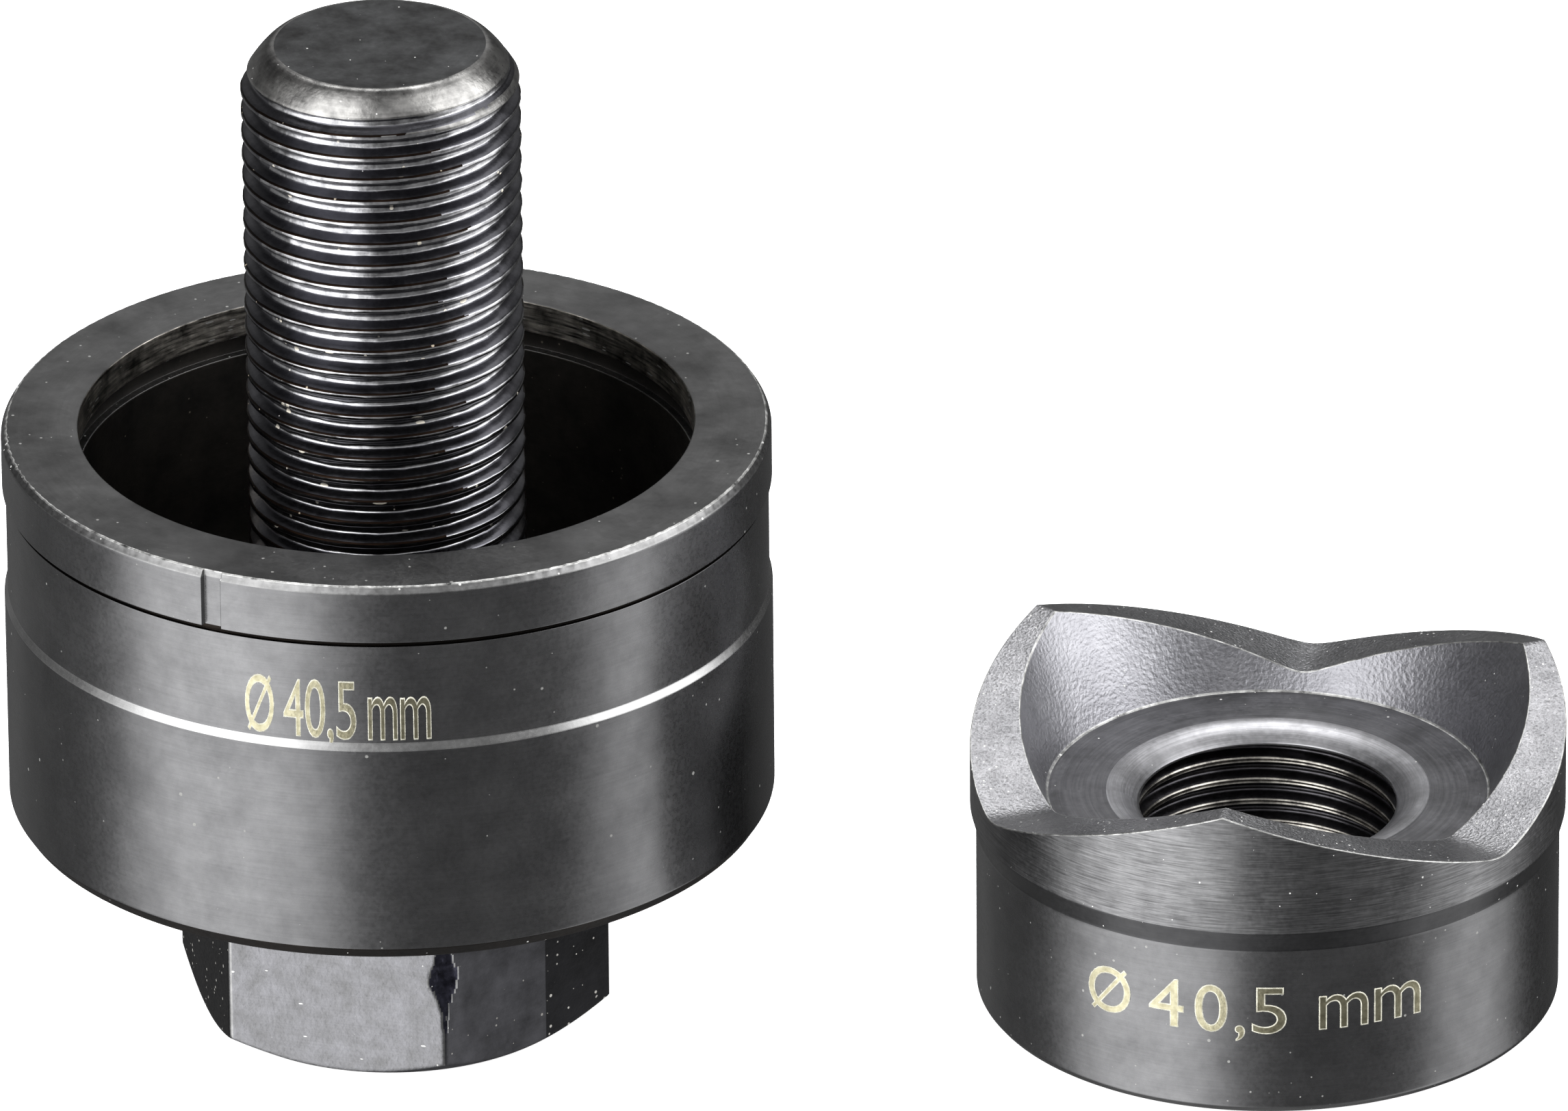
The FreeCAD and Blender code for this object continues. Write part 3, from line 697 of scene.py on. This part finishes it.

# %% [markdown]
# ## Wear and painted shade on the head
#
# Each face of the grid gets its finish by rule, from the flat that it is on and its
# place on it. A painted mask could do the same, but a rule stays true when the grid
# changes. The rubbed flat stays pale. The others get painted shade over their black
# scale, for the shadowed bench under the die that they would mirror: black on most,
# and dark grey over part of the next flat. A face that lies inside the hexagon is on the
# torn corner or on the crown, and both have the same dark finish. The corners of the
# rubbed flat and of the flat before it are worn to a pale edge, and so is the rim of the
# torn corner.

# %% Finish of each face of the head
RUBBED_FLAT = 3           # the flats are counted from the corner at HEAD_TURN
HALF_SHADE_UPTO = 37          # degrees of the next flat in the lighter painted shade
PALE_EDGE = 0.8           # degrees to each side of a worn corner
INSIDE = 0.02             # mm by which a torn face lies inside the hexagon, at least
along_flat = (bolt_degrees - HEAD_TURN) % 60
flat_number = ((bolt_degrees - HEAD_TURN) % 360) // 60
from_corner = np.abs((bolt_degrees - HEAD_TURN + 30) % 60 - 30)
# every flat but the rubbed one gets painted shade: black, and dark grey over part of the next
# flat
side = np.where(flat_number == RUBBED_FLAT, RUBBED, SCALE_AND_SHADE)
half_shaded = (flat_number == RUBBED_FLAT + 1) & (along_flat < HALF_SHADE_UPTO)
side = np.where(half_shaded, PARTLY_SHADED, side)
near_rubbed = (flat_number == RUBBED_FLAT) | (flat_number == RUBBED_FLAT - 1)
side = np.where((from_corner < PALE_EDGE) & near_rubbed, EDGE, side)
is_torn = between(head_line[..., 0]) < hexagon - INSIDE
beside = np.roll(is_torn, 1, 1) | np.roll(is_torn, -1, 1)
side = np.where(is_torn, TORN, np.where(beside, EDGE, side))
row_number = np.arange(len(head_line) - 1)[:, None]
head_finish = np.where(row_number < HEAD_ROWS - 1, side, THREADED)
head_finish = np.where(row_number < FOOT_ROWS, SCALE_AND_SHADE, head_finish)
print("faces of each finish on the head:", np.bincount(head_finish.ravel()).tolist())

# %% [markdown]
# ## The bolt's thread and tip
#
# The climbing grid is wrapped round the shank. Its crests carry shallow dents, its
# first turn grows out of the run-out groove, and the tip's bevel cuts off the last
# ones. That bevel isn't a straight cone: starting the punch has worn it round, so its
# radius falls faster towards the end. The bevel and the thread are both worked out
# for every point, and the smaller radius is kept.

# %% Cut the bolt's thread
THREAD_RADIUS = mounts["draw_thread"]["dims"]["r_mm"]
RUNOUT_SLOPE = 2.0                        # the thread deepens this fast where it begins
TIP_RADIUS, TIP_WEAR, TIP_BEND = 7.2, 2.6, 0.68
BOLT_CREST = 1.66                         # height of a crest in the +X direction, mm
DENTS, NICKS = 0.03, 0.012                # depth of the crests' slow and quick waves, mm
LEFT_SHADE = (150, 211)                 # degrees where the crests keep the dark finish as painted shade
FLANK_END = 0.37                          # from the middle of a crest, in pitches
SHADE_LINE_FROM, SHADE_LINE_UPTO = 0.07, 0.14           # above the middle of a crest, in pitches
SHADE_LINE_END, SHADE_LINE_WANDER = 300, 14             # degrees

height, phase = helix_rows(THREAD_LOW, BOLT_TOP, bolt_degrees, BOLT_CREST)
crests = THREAD_RADIUS - DENTS + DENTS * ripple(bolt_degrees * 0.11, height * 3.0, 1.0)
crests = crests + NICKS * ripple(bolt_degrees * 1.3, height * 5.0, 4.0)
cut = crests - THREAD_DEPTH * thread_depth(phase)
cut = np.minimum(cut, RUNOUT_RADIUS + (height - THREAD_LOW) * RUNOUT_SLOPE)
# the tip's worn bevel: 7.2 + 2.22 (depth below the top / 2.6) ^ 0.68
below = np.maximum(BOLT_TOP - height, 0) / TIP_WEAR
bevelled = TIP_RADIUS + (THREAD_RADIUS - TIP_RADIUS) * below ** TIP_BEND
thread = around(np.stack([np.minimum(cut, bevelled), height], -1), bolt_degrees)

turn_phase = (between(phase) + 0.5) % 1 - 0.5
is_flank = (np.abs(turn_phase) > CREST_HALF) & (np.abs(turn_phase) < FLANK_END)
# the crests at the far left stay dark as painted shade
in_left_shade = (bolt_degrees > LEFT_SHADE[0]) & (bolt_degrees < LEFT_SHADE[1])
thread_finish = np.where(is_flank | in_left_shade, THREADED, CREST_RUBBED_AND_LIT)
# the painted shade line runs along each turn and ends on the right at a wandering angle
shade_line_end = SHADE_LINE_END + SHADE_LINE_WANDER * ripple(between(height) * 1.7, 0.0, 2.0)
on_shade_line = (turn_phase > SHADE_LINE_FROM) & (turn_phase < SHADE_LINE_UPTO) & (bolt_degrees < shade_line_end)
thread_finish = np.where(on_shade_line, SHADE_LINE, thread_finish)
thread_finish = np.where(between(bevelled) < between(cut), TIP, thread_finish)
# the cap's outer rings are narrow, so that the worn edge stays a thin line
cap = np.array([[[r, BOLT_TOP]] for r in (TIP_RADIUS, 7.1, 6.9, 4.0, 0.0)])
draw_bolt = build_piece("draw_bolt_threaded", [
    (around(head_line, bolt_degrees), head_finish, {}),
    (thread, thread_finish, {"shift": len(PHASES)}),
    (around(cap, bolt_degrees), [TIP, TIP_FACE, TIP_FACE, TIP_FACE], {}),
], bolt_kinds)
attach(draw_bolt, "bolt")
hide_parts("draw_bolt")

# %% [markdown]
# ## The punch's finishes
#
# The same satin outside as the die. The cutting band was ground, which leaves streaks
# along its turn. The dish inside was blasted, so it looks like orange peel. The rim's
# three scallops were ground, with a bare burr along their edges, and the floor round
# the hole was spot-faced, with rings round the hole. The tapped hole is nearly black,
# and its glossy crests are painted paler as a highlight.

# %% Finishes of the punch
punch_satin = steel("black_oxide_turned_satin_punch", "#4d4d4e", "#5d5d5e",
                    centre_x=PUNCH_X, rough=0.28, ring_bump=0.03, grain_bump=0.05,
                    speck="#a0a09e", speck_share=0.6, speck_size=0.26, speck_gap=0.7)
band = steel("ground_cutting_band", "#4c4c4d", "#666667", centre_x=PUNCH_X,
             ring_size=0.09, ring_bump=0.8, ring_tint=0.4, ring_length=2.5)
taper = steel("black_oxide_taper", "#2f2f30", "#3b3b3c", centre_x=PUNCH_X,
              speck_share=0.8, speck_size=0.18, speck_gap=0.7)
dish = steel("blasted_dish_orange_peel", "#76767a", "#8d8d91", centre_x=PUNCH_X,
             rings="", grain_size=0.28, grain_bump=5.0, grain_tint=0.12, rough=0.38,
             speck_share=0.3, cloud_size=5.0)
rim_burr = steel("ground_edge_bare_burr", "#4c4c4c", "#c4c4c2", centre_x=PUNCH_X,
                 rings="", rough=0.42, cloud_size=1.0, speck_share=0.6, speck_size=0.25,
                 speck_gap=0.5)
ground = steel("ground_rim_granular", "#6b6b6d", "#868688", centre_x=PUNCH_X, rings="",
               grain_size=0.2, grain_bump=6.0, grain_tint=0.3, rough=0.34,
               speck_share=0.9, speck_size=0.2, speck_gap=0.4)
spot = steel("spot_faced_floor", "#535355", "#717174", centre_x=PUNCH_X, rings="face",
             ring_size=0.22, ring_bump=0.8, ring_tint=0.2, rough=0.38)
sink = steel("countersink_satin", "#7c7c7e", "#9a9a9d", centre_x=PUNCH_X, rings="face",
             ring_bump=0.5, ring_tint=0.2, rough=0.38, cloud_size=2.0)
tapped = steel("black_oxide_thread_gloss_punch", "#2c2b2d", "#4a494c", rough=0.24,
               centre_x=PUNCH_X, rings="", cloud_size=1.5, grain_bump=0.6,
               speck="#e6dfc8", speck_share=0.3, speck_size=0.2, speck_gap=0.8)
# painted highlight: the crests in the hole are paler to show the light that they catch
crest_painted_highlight = steel("thread_crest_painted_highlight_punch", "#3c3a39", "#b4b0a8", rough=0.22, rings="",
              centre_x=PUNCH_X, cloud_size=1.5, grain_bump=0.6, speck_share=0.3)
punch_kinds = [punch_satin, taper, band, ground, dish, spot, sink, tapped, rim_burr, crest_painted_highlight]
print("finishes of the punch:", [kind.name for kind in punch_kinds])

# %% [markdown]
# ## The punch
#
# The rim is the clever part. It rises and falls three times round the punch, so only
# three tips touch the sheet first and the cut travels round like a pair of scissors.
# It could be cut out of a cylinder with three Boolean tools. As a formula it is
# simpler: its height is a helix on both sides of each valley, valley height plus
# 0.1135 mm for each degree, with the valley rounded by the square root of a sum of
# squares. Along each radius the rim is level. The dish's wall leans outwards, so where
# the rim is higher it is also thinner, and the corner between rim and dish is worked
# out from the rim's height at each angle.

# %% Grind the rim
FIRST_TIP, RAMP, VALLEY_ROUND = 20.5, 0.1135, 3.2         # degrees, mm a degree, degrees
DISH_FLOOR, DISH_RADIUS, DISH_LEAN = 14.65, 15.05, np.tan(np.radians(24.6))
SKIRT_RADIUS, SINK_RADIUS, LIP_RADIUS = 19.84, 10.05, 11.0
punch_degrees = FIRST_TIP + np.arange(360.0)
from_valley = (punch_degrees - FIRST_TIP) % 120 - 60
valley = TIP_HEIGHT - RAMP * np.hypot(60, VALLEY_ROUND)
rim = valley + RAMP * np.hypot(from_valley, VALLEY_ROUND)
dish_edge = DISH_RADIUS + (rim - DISH_FLOOR) * DISH_LEAN
PUNCH_CORNERS = [  # radius, height, cut in mm, finish of the stretch that follows
    (SINK_RADIUS, 0.0, 0.0, punch_satin), (SKIRT_RADIUS - 0.4, 0.0, 0.12, punch_satin),
    (SKIRT_RADIUS, 0.5, 0.15, punch_satin), (SKIRT_RADIUS, 12.3, 0.20, taper),
    (BAND_RADIUS, 13.8, 0.15, band), (BAND_RADIUS, rim, 0.08, ground),
    (dish_edge, rim, 0.08, dish), (DISH_RADIUS, DISH_FLOOR, 0.12, spot),
    (LIP_RADIUS, DISH_FLOOR, 0.0, spot),
]
line, stretch, bent = softened(
    [np.stack([r + 0 * rim, z + 0 * rim], -1) for r, z, *_ in PUNCH_CORNERS],
    [row[2] for row in PUNCH_CORNERS])
# this line is open: the gap from its last corner back to the first one is left out,
# with half of the points that these two uncut corners have
line, stretch, bent = line[3:-3], stretch[3:-4], bent[3:-4]
stretch_kinds = [row[3] for row in PUNCH_CORNERS]
finish = [punch_kinds.index(stretch_kinds[number]) for number in stretch]
# the burr runs along the corners at both ends of the ground rim and round the floor
first, last = stretch_kinds.index(ground), stretch_kinds.index(spot)
finish = np.where((bent >= first) & (bent <= last), punch_kinds.index(rim_burr), finish)
print("rim, mm: from", round(rim.min(), 2), "to", round(rim.max(), 2))

# %% [markdown]
# ## The punch's hole
#
# The hole has the same thread as the bolt, in the hollow: the helix goes outwards
# from the hole's own radius. Its upper end flows out of the dish's floor as a rounded
# lip, and a countersink opens its lower end. The line of the lip comes down from the
# floor, the thread's grid follows downwards, so its rows are turned over, and the
# skirt's line starts where the countersink ends.

# %% Tap the hole and close the punch
HOLE_RADIUS = mounts["punch_thread"]["dims"]["r_mm"]
LIP_DEPTH, LIP_STEPS = 1.0, 13
HOLE_CREST = 0.99                         # height of a crest in the +X direction, mm
HIGHLIGHT_HALF = 0.13                        # of a crest's band with the painted highlight, in pitches
# the lip: depth 1.0 (1-t)^2 while the radius goes from 8.75 to 11 with t from 0 to 1
t = np.linspace(1, 0, LIP_STEPS + 1)
lip_line = np.stack([HOLE_RADIUS + (LIP_RADIUS - HOLE_RADIUS) * t,
                     DISH_FLOOR - LIP_DEPTH * (1 - t) ** 2], -1)[:, None]
lip = around(lip_line, punch_degrees, PUNCH_X)
height, phase = helix_rows(0.0, DISH_FLOOR - LIP_DEPTH, punch_degrees, HOLE_CREST)
tapped_radius = HOLE_RADIUS + THREAD_DEPTH * thread_depth(phase)
hole_radius = np.maximum(tapped_radius, SINK_RADIUS - height)
hole = around(np.stack([hole_radius, height], -1), punch_degrees, PUNCH_X)[::-1]
is_crest = np.abs((between(phase) + 0.5) % 1 - 0.5) < HIGHLIGHT_HALF
hole_finish = np.where(is_crest, punch_kinds.index(crest_painted_highlight), punch_kinds.index(tapped))[::-1]
punch = build_piece("punch_three_tips", [
    (around(line, punch_degrees, PUNCH_X), finish, {}),
    (lip, [punch_kinds.index(sink)] * LIP_STEPS, {}),
    (np.stack([lip[-1], hole[0]]), [punch_kinds.index(tapped)], {}),
    (hole, hole_finish, {"shift": -len(PHASES)}),
], punch_kinds)
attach(punch, "tool_set")
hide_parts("punch")

# %% [markdown]
# ## The size marks
#
# Die and punch carry the size of hole that they make. It is marked by laser, which
# strips the oxide and leaves pale, faintly yellow bare steel. It could be a colour
# painted on the wall, but as a thin piece of its own its rim catches the light too.
# Each sign is a text turned into a mesh, cut into small pieces and wrapped on its
# wall: its width becomes an angle and its height a height. It is 0.03 mm thick and
# sunk by 0.01 mm, so that it leaves no gap. Every sign has its own place in a table,
# because the built-in font spaces them differently from the real mark.

# %% What the marks say
marked = steel("laser_mark_bare_steel", "#726e5a", "#98947e", rough=0.32, rings="",
               grain_size=0.2, grain_bump=1.6, speck_share=0.0, scratch_share=0.0,
               cloud_size=0.6)
# painted highlight: the rim of each sign is pale for the light that its raised edge catches
mark_rim_highlight = steel("laser_mark_rim_painted_highlight", "#b4b2a4", "#e8e7dd", rough=0.8, rings="",
                  speck_share=0.0, scratch_share=0.0, cloud_size=0.6)
DIE_SIGNS = [  # sign, angle of its left and right side from the front, foot, head
    ("Ø", -20.5, -15.9, 31.37, 35.75), ("4", -14.5, -11.4, 31.39, 35.66),
    ("0", -11.2, -8.1, 31.36, 35.75), (",", -7.9, -6.9, 30.60, 32.16),
    ("5", -6.5, -3.5, 31.34, 35.69), ("m", -1.8, 2.6, 31.35, 34.60),
    ("m", 3.0, 7.6, 31.35, 34.55)]
PUNCH_SIGNS = [
    ("Ø", -38.3, -28.5, 6.11, 9.60), ("4", -24.6, -17.3, 6.09, 9.72),
    ("0", -15.2, -8.6, 6.05, 9.63), (",", -7.2, -5.2, 5.49, 6.69),
    ("5", -3.9, 2.9, 6.07, 9.58), ("m", 9.2, 19.2, 6.25, 8.83),
    ("m", 20.4, 30.5, 6.30, 8.90)]
print("the marks say", "".join(sign[0] for sign in DIE_SIGNS))

# %% [markdown]
# ## From a text to a flat mesh
#
# A text is made into a mesh with a bevelled rim. The wall will bend it, so its long
# edges are halved first, up to four times. A face that doesn't look straight forward
# or back is on the rim's slope, and gets a pale finish, a painted highlight for the
# light that the rim catches.

# %% Make one flat sign
# in heights of the font: the thickness to each side, how much the outline shrinks,
# the bevel's width, and the longest edge
EXTRUDE, SHRINK, BEVEL, LONGEST_EDGE = 0.005, 0.007, 0.016, 0.12
FORWARD = 0.95            # cosine of the angle from straight forward
MARKED, RIM_HIGHLIGHT = 0, 1     # places of the two finishes


def flat_sign(sign):
    """The sign's mesh, lying flat, with doubles merged and long edges cut."""
    words = bpy.data.curves.new(sign, "FONT")
    words.body, words.resolution_u = sign, 6
    words.extrude, words.offset = EXTRUDE, -SHRINK
    words.bevel_depth, words.bevel_resolution = BEVEL, 0
    flat = bpy.data.objects.new(sign, words)
    bpy.context.scene.collection.objects.link(flat)
    bpy.context.view_layer.update()
    mesh = bpy.data.meshes.new_from_object(flat)
    bpy.data.objects.remove(flat)
    cut = bmesh.new()
    cut.from_mesh(mesh)
    bmesh.ops.remove_doubles(cut, verts=cut.verts, dist=1e-5)
    bmesh.ops.triangulate(cut, faces=cut.faces)
    for _ in range(4):
        long = [e for e in cut.edges if e.calc_length() > LONGEST_EDGE]
        bmesh.ops.subdivide_edges(cut, edges=long, cuts=1)
        bmesh.ops.triangulate(cut, faces=[f for f in cut.faces if len(f.verts) > 3])
    # where two outlines nearly touch, the bevel leaves flaps: pairs of faces back to back
    on_corners = {}
    for face in cut.faces:
        on_corners.setdefault(frozenset(face.verts), []).append(face)
    flaps = [f for same in on_corners.values() if len(same) > 1 for f in same]
    bmesh.ops.delete(cut, geom=flaps, context="FACES")
    bmesh.ops.recalc_face_normals(cut, faces=cut.faces)
    cut.normal_update()
    for face in cut.faces:
        face.material_index = MARKED if abs(face.normal.z) >= FORWARD else RIM_HIGHLIGHT
    cut.to_mesh(mesh)
    cut.free()
    return mesh


# %% [markdown]
# ## Wrap the signs on their walls
#
# Each sign's points are turned at once, as one array, and all signs of a mark become
# one piece. The bend keeps the sign's front outwards, so its faces need no turning.

# %% Mark both parts
MARK_SUNK, MARK_THICK = 0.01, 0.03        # mm


def wrapped(mesh, centre_x, wall, left, right, foot, head):
    """A flat sign bent on its wall. With u, v and w from 0 to 1 across, up and through
    the sign, its angle is left + (right - left) u, its height foot + (head - foot) v,
    and its radius wall - 0.01 + 0.03 w."""
    spots = np.empty(len(mesh.vertices) * 3, np.float32)
    mesh.vertices.foreach_get("co", spots)
    spots = spots.reshape(-1, 3).astype(float)
    u, v, w = ((spots - spots.min(0)) / np.ptp(spots, 0)).T
    a = np.radians(-90 + left + (right - left) * u)
    r = wall - MARK_SUNK + MARK_THICK * w
    z = foot + (head - foot) * v
    spots = np.stack([centre_x + r * np.cos(a), r * np.sin(a), z], -1) * MM
    mesh.vertices.foreach_set("co", spots.astype(np.float32).ravel())
    return mesh


def size_mark(name, signs, centre_x, wall):
    """All signs of one mark as one piece."""
    whole = bmesh.new()
    for sign, *where in signs:
        whole.from_mesh(wrapped(flat_sign(sign), centre_x, wall, *where))
    open_edges = sum(len(e.link_faces) != 2 for e in whole.edges)
    mesh = bpy.data.meshes.new(name)
    whole.to_mesh(mesh)
    whole.free()
    mesh.materials.append(marked)
    mesh.materials.append(mark_rim_highlight)
    return show(name, mesh, open_edges)


die_mark = size_mark("size_mark_die", DIE_SIGNS, 0.0, NECK_RADIUS)
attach(die_mark, "tool_set")
punch_mark = size_mark("size_mark_punch", PUNCH_SIGNS, PUNCH_X, SKIRT_RADIUS)
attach(punch_mark, "tool_set")

# %% [markdown]
# ## The bench
#
# The photograph has a plain white ground with almost no shadow. The bench is left out
# of the metal's reflections, so that the soft boxes reach below it as they did in the
# picture, and it glows a little of itself, as a lit table does. Its fibres are drawn
# at about a millimetre, far coarser than paper's, and only just show.

# %% White bench
BENCH_HALF, BENCH_LOW = 3.0, 0.0001       # metres
paper, tree = new_material("white_matt_lit_table")
place = add(tree, "TexCoord").outputs["Object"]
fibre = add(tree, "TexNoise", {"Vector": place, "Scale": 900.0, "Detail": 3.0}).outputs["Fac"]
white = add(tree, "Mix", {"Factor": fibre, 6: linear("#f4f4f4"), 7: linear("#ffffff")},
            data_type="RGBA").outputs[2]
shader = add(tree, "BsdfPrincipled", {"Base Color": white, "Roughness": 0.9,
                                      "Emission Color": white, "Emission Strength": 0.86})
add(tree, "OutputMaterial", {"Surface": shader.outputs[0]})
sheet = bpy.data.meshes.new("bench")
sheet.from_pydata([(x * BENCH_HALF, y * BENCH_HALF, 0)
                   for x, y in ((-1, -1), (1, -1), (1, 1), (-1, 1))], [], [(0, 1, 2, 3)])
sheet.materials.append(paper)
bench = bpy.data.objects.new("bench", sheet)
bench.location.z = -BENCH_LOW
bpy.context.scene.collection.objects.link(bench)
bench.visible_glossy = False
print("bench, m:", 2 * BENCH_HALF)

# %% [markdown]
# ## The light
#
# Seen from above, the upright walls mirror what stands low around them, so the two
# pale stripes on every wall are two tall soft boxes, one to the left of the camera and
# one far to the right. A third box hangs high behind the object and lights the rim's
# slopes, and a small one hangs high on the right. Area lamps could do it, but here the
# boxes are drawn in the world, as soft-edged patches of direction, which lights all
# pieces evenly and stays where it is when the camera moves.

# %% Soft boxes
ROOM = 0.1                # the light that comes from everywhere
BOXES = [  # middle and half width across, soft edge; the same in height; strength
    (0, 105, 50, -20, 60, 30, 0.30),      # the room in front
    (10, 50, 40, 50, 20, 20, 0.8),        # its ceiling
    (-130, 30, 30, -35, 35, 20, 0.14),    # the bench behind on the left
    (0, 400, 10, -90, 30, 20, 0.4),       # the table itself
    (0, 400, 10, 90, 14, 20, 0.3),        # the ceiling right above
    (-50, 31, 30, 0, 62, 30, 4.0),        # box to the left
    (88, 21, 22, -20, 42, 30, 2.2),       # box to the right, its lower part
    (82, 26, 24, 32, 26, 24, 4.1),        # and its upper part
    (132, 18, 18, 50, 12, 14, 1.5),       # small box high on the right
    (180, 26, 30, 27, 13, 16, 0.55),      # back wall
    (180, 42, 26, 63, 11, 12, 7.0),       # box high behind
]
world = bpy.data.worlds.new("studio")
world.use_nodes = True
bpy.context.scene.world = world
tree = world.node_tree
tree.nodes.clear()
way = add(tree, "SeparateXYZ", {0: add(tree, "TexCoord").outputs["Generated"]})
toward = add(tree, "Math", {0: way.outputs[1], 1: -1.0}, operation="MULTIPLY").outputs[0]
side = add(tree, "Math", {0: way.outputs[0], 1: toward}, operation="ARCTAN2").outputs[0]
rise = add(tree, "Math", {0: way.outputs[2]}, operation="ARCSINE").outputs[0]


def patch(value, middle, half, soft):
    """1 within `half` degrees of the middle and 0 beyond, with an edge `soft` wide.
    The angle between the two is the arc cosine of the cosine of their difference, so
    a patch may lie across the back."""
    off = add(tree, "Math", {0: value, 1: np.radians(middle)}, operation="SUBTRACT")
    near = add(tree, "Math", {0: off.outputs[0]}, operation="COSINE")
    far = add(tree, "Math", {0: near.outputs[0]}, operation="ARCCOSINE")
    return add(tree, "MapRange", {
        "Value": far.outputs[0], "From Min": np.radians(half - soft / 2),
        "From Max": np.radians(half + soft / 2), "To Min": 1.0, "To Max": 0.0},
        interpolation_type="SMOOTHSTEP").outputs[0]


light = ROOM
for across, half, soft, middle, tall, blur, strength in BOXES:
    box = add(tree, "Math", {0: patch(side, across, half, soft),
                             1: patch(rise, middle, tall, blur)},
              operation="MULTIPLY").outputs[0]
    light = add(tree, "Math", {0: box, 1: strength, 2: light},
                operation="MULTIPLY_ADD").outputs[0]
background = add(tree, "Background", {"Color": linear("#ffffff"), "Strength": light})
add(tree, "OutputWorld", {"Surface": background.outputs[0]})
bpy.context.scene.view_settings.view_transform = "Standard"
print("patches of light:", len(BOXES))
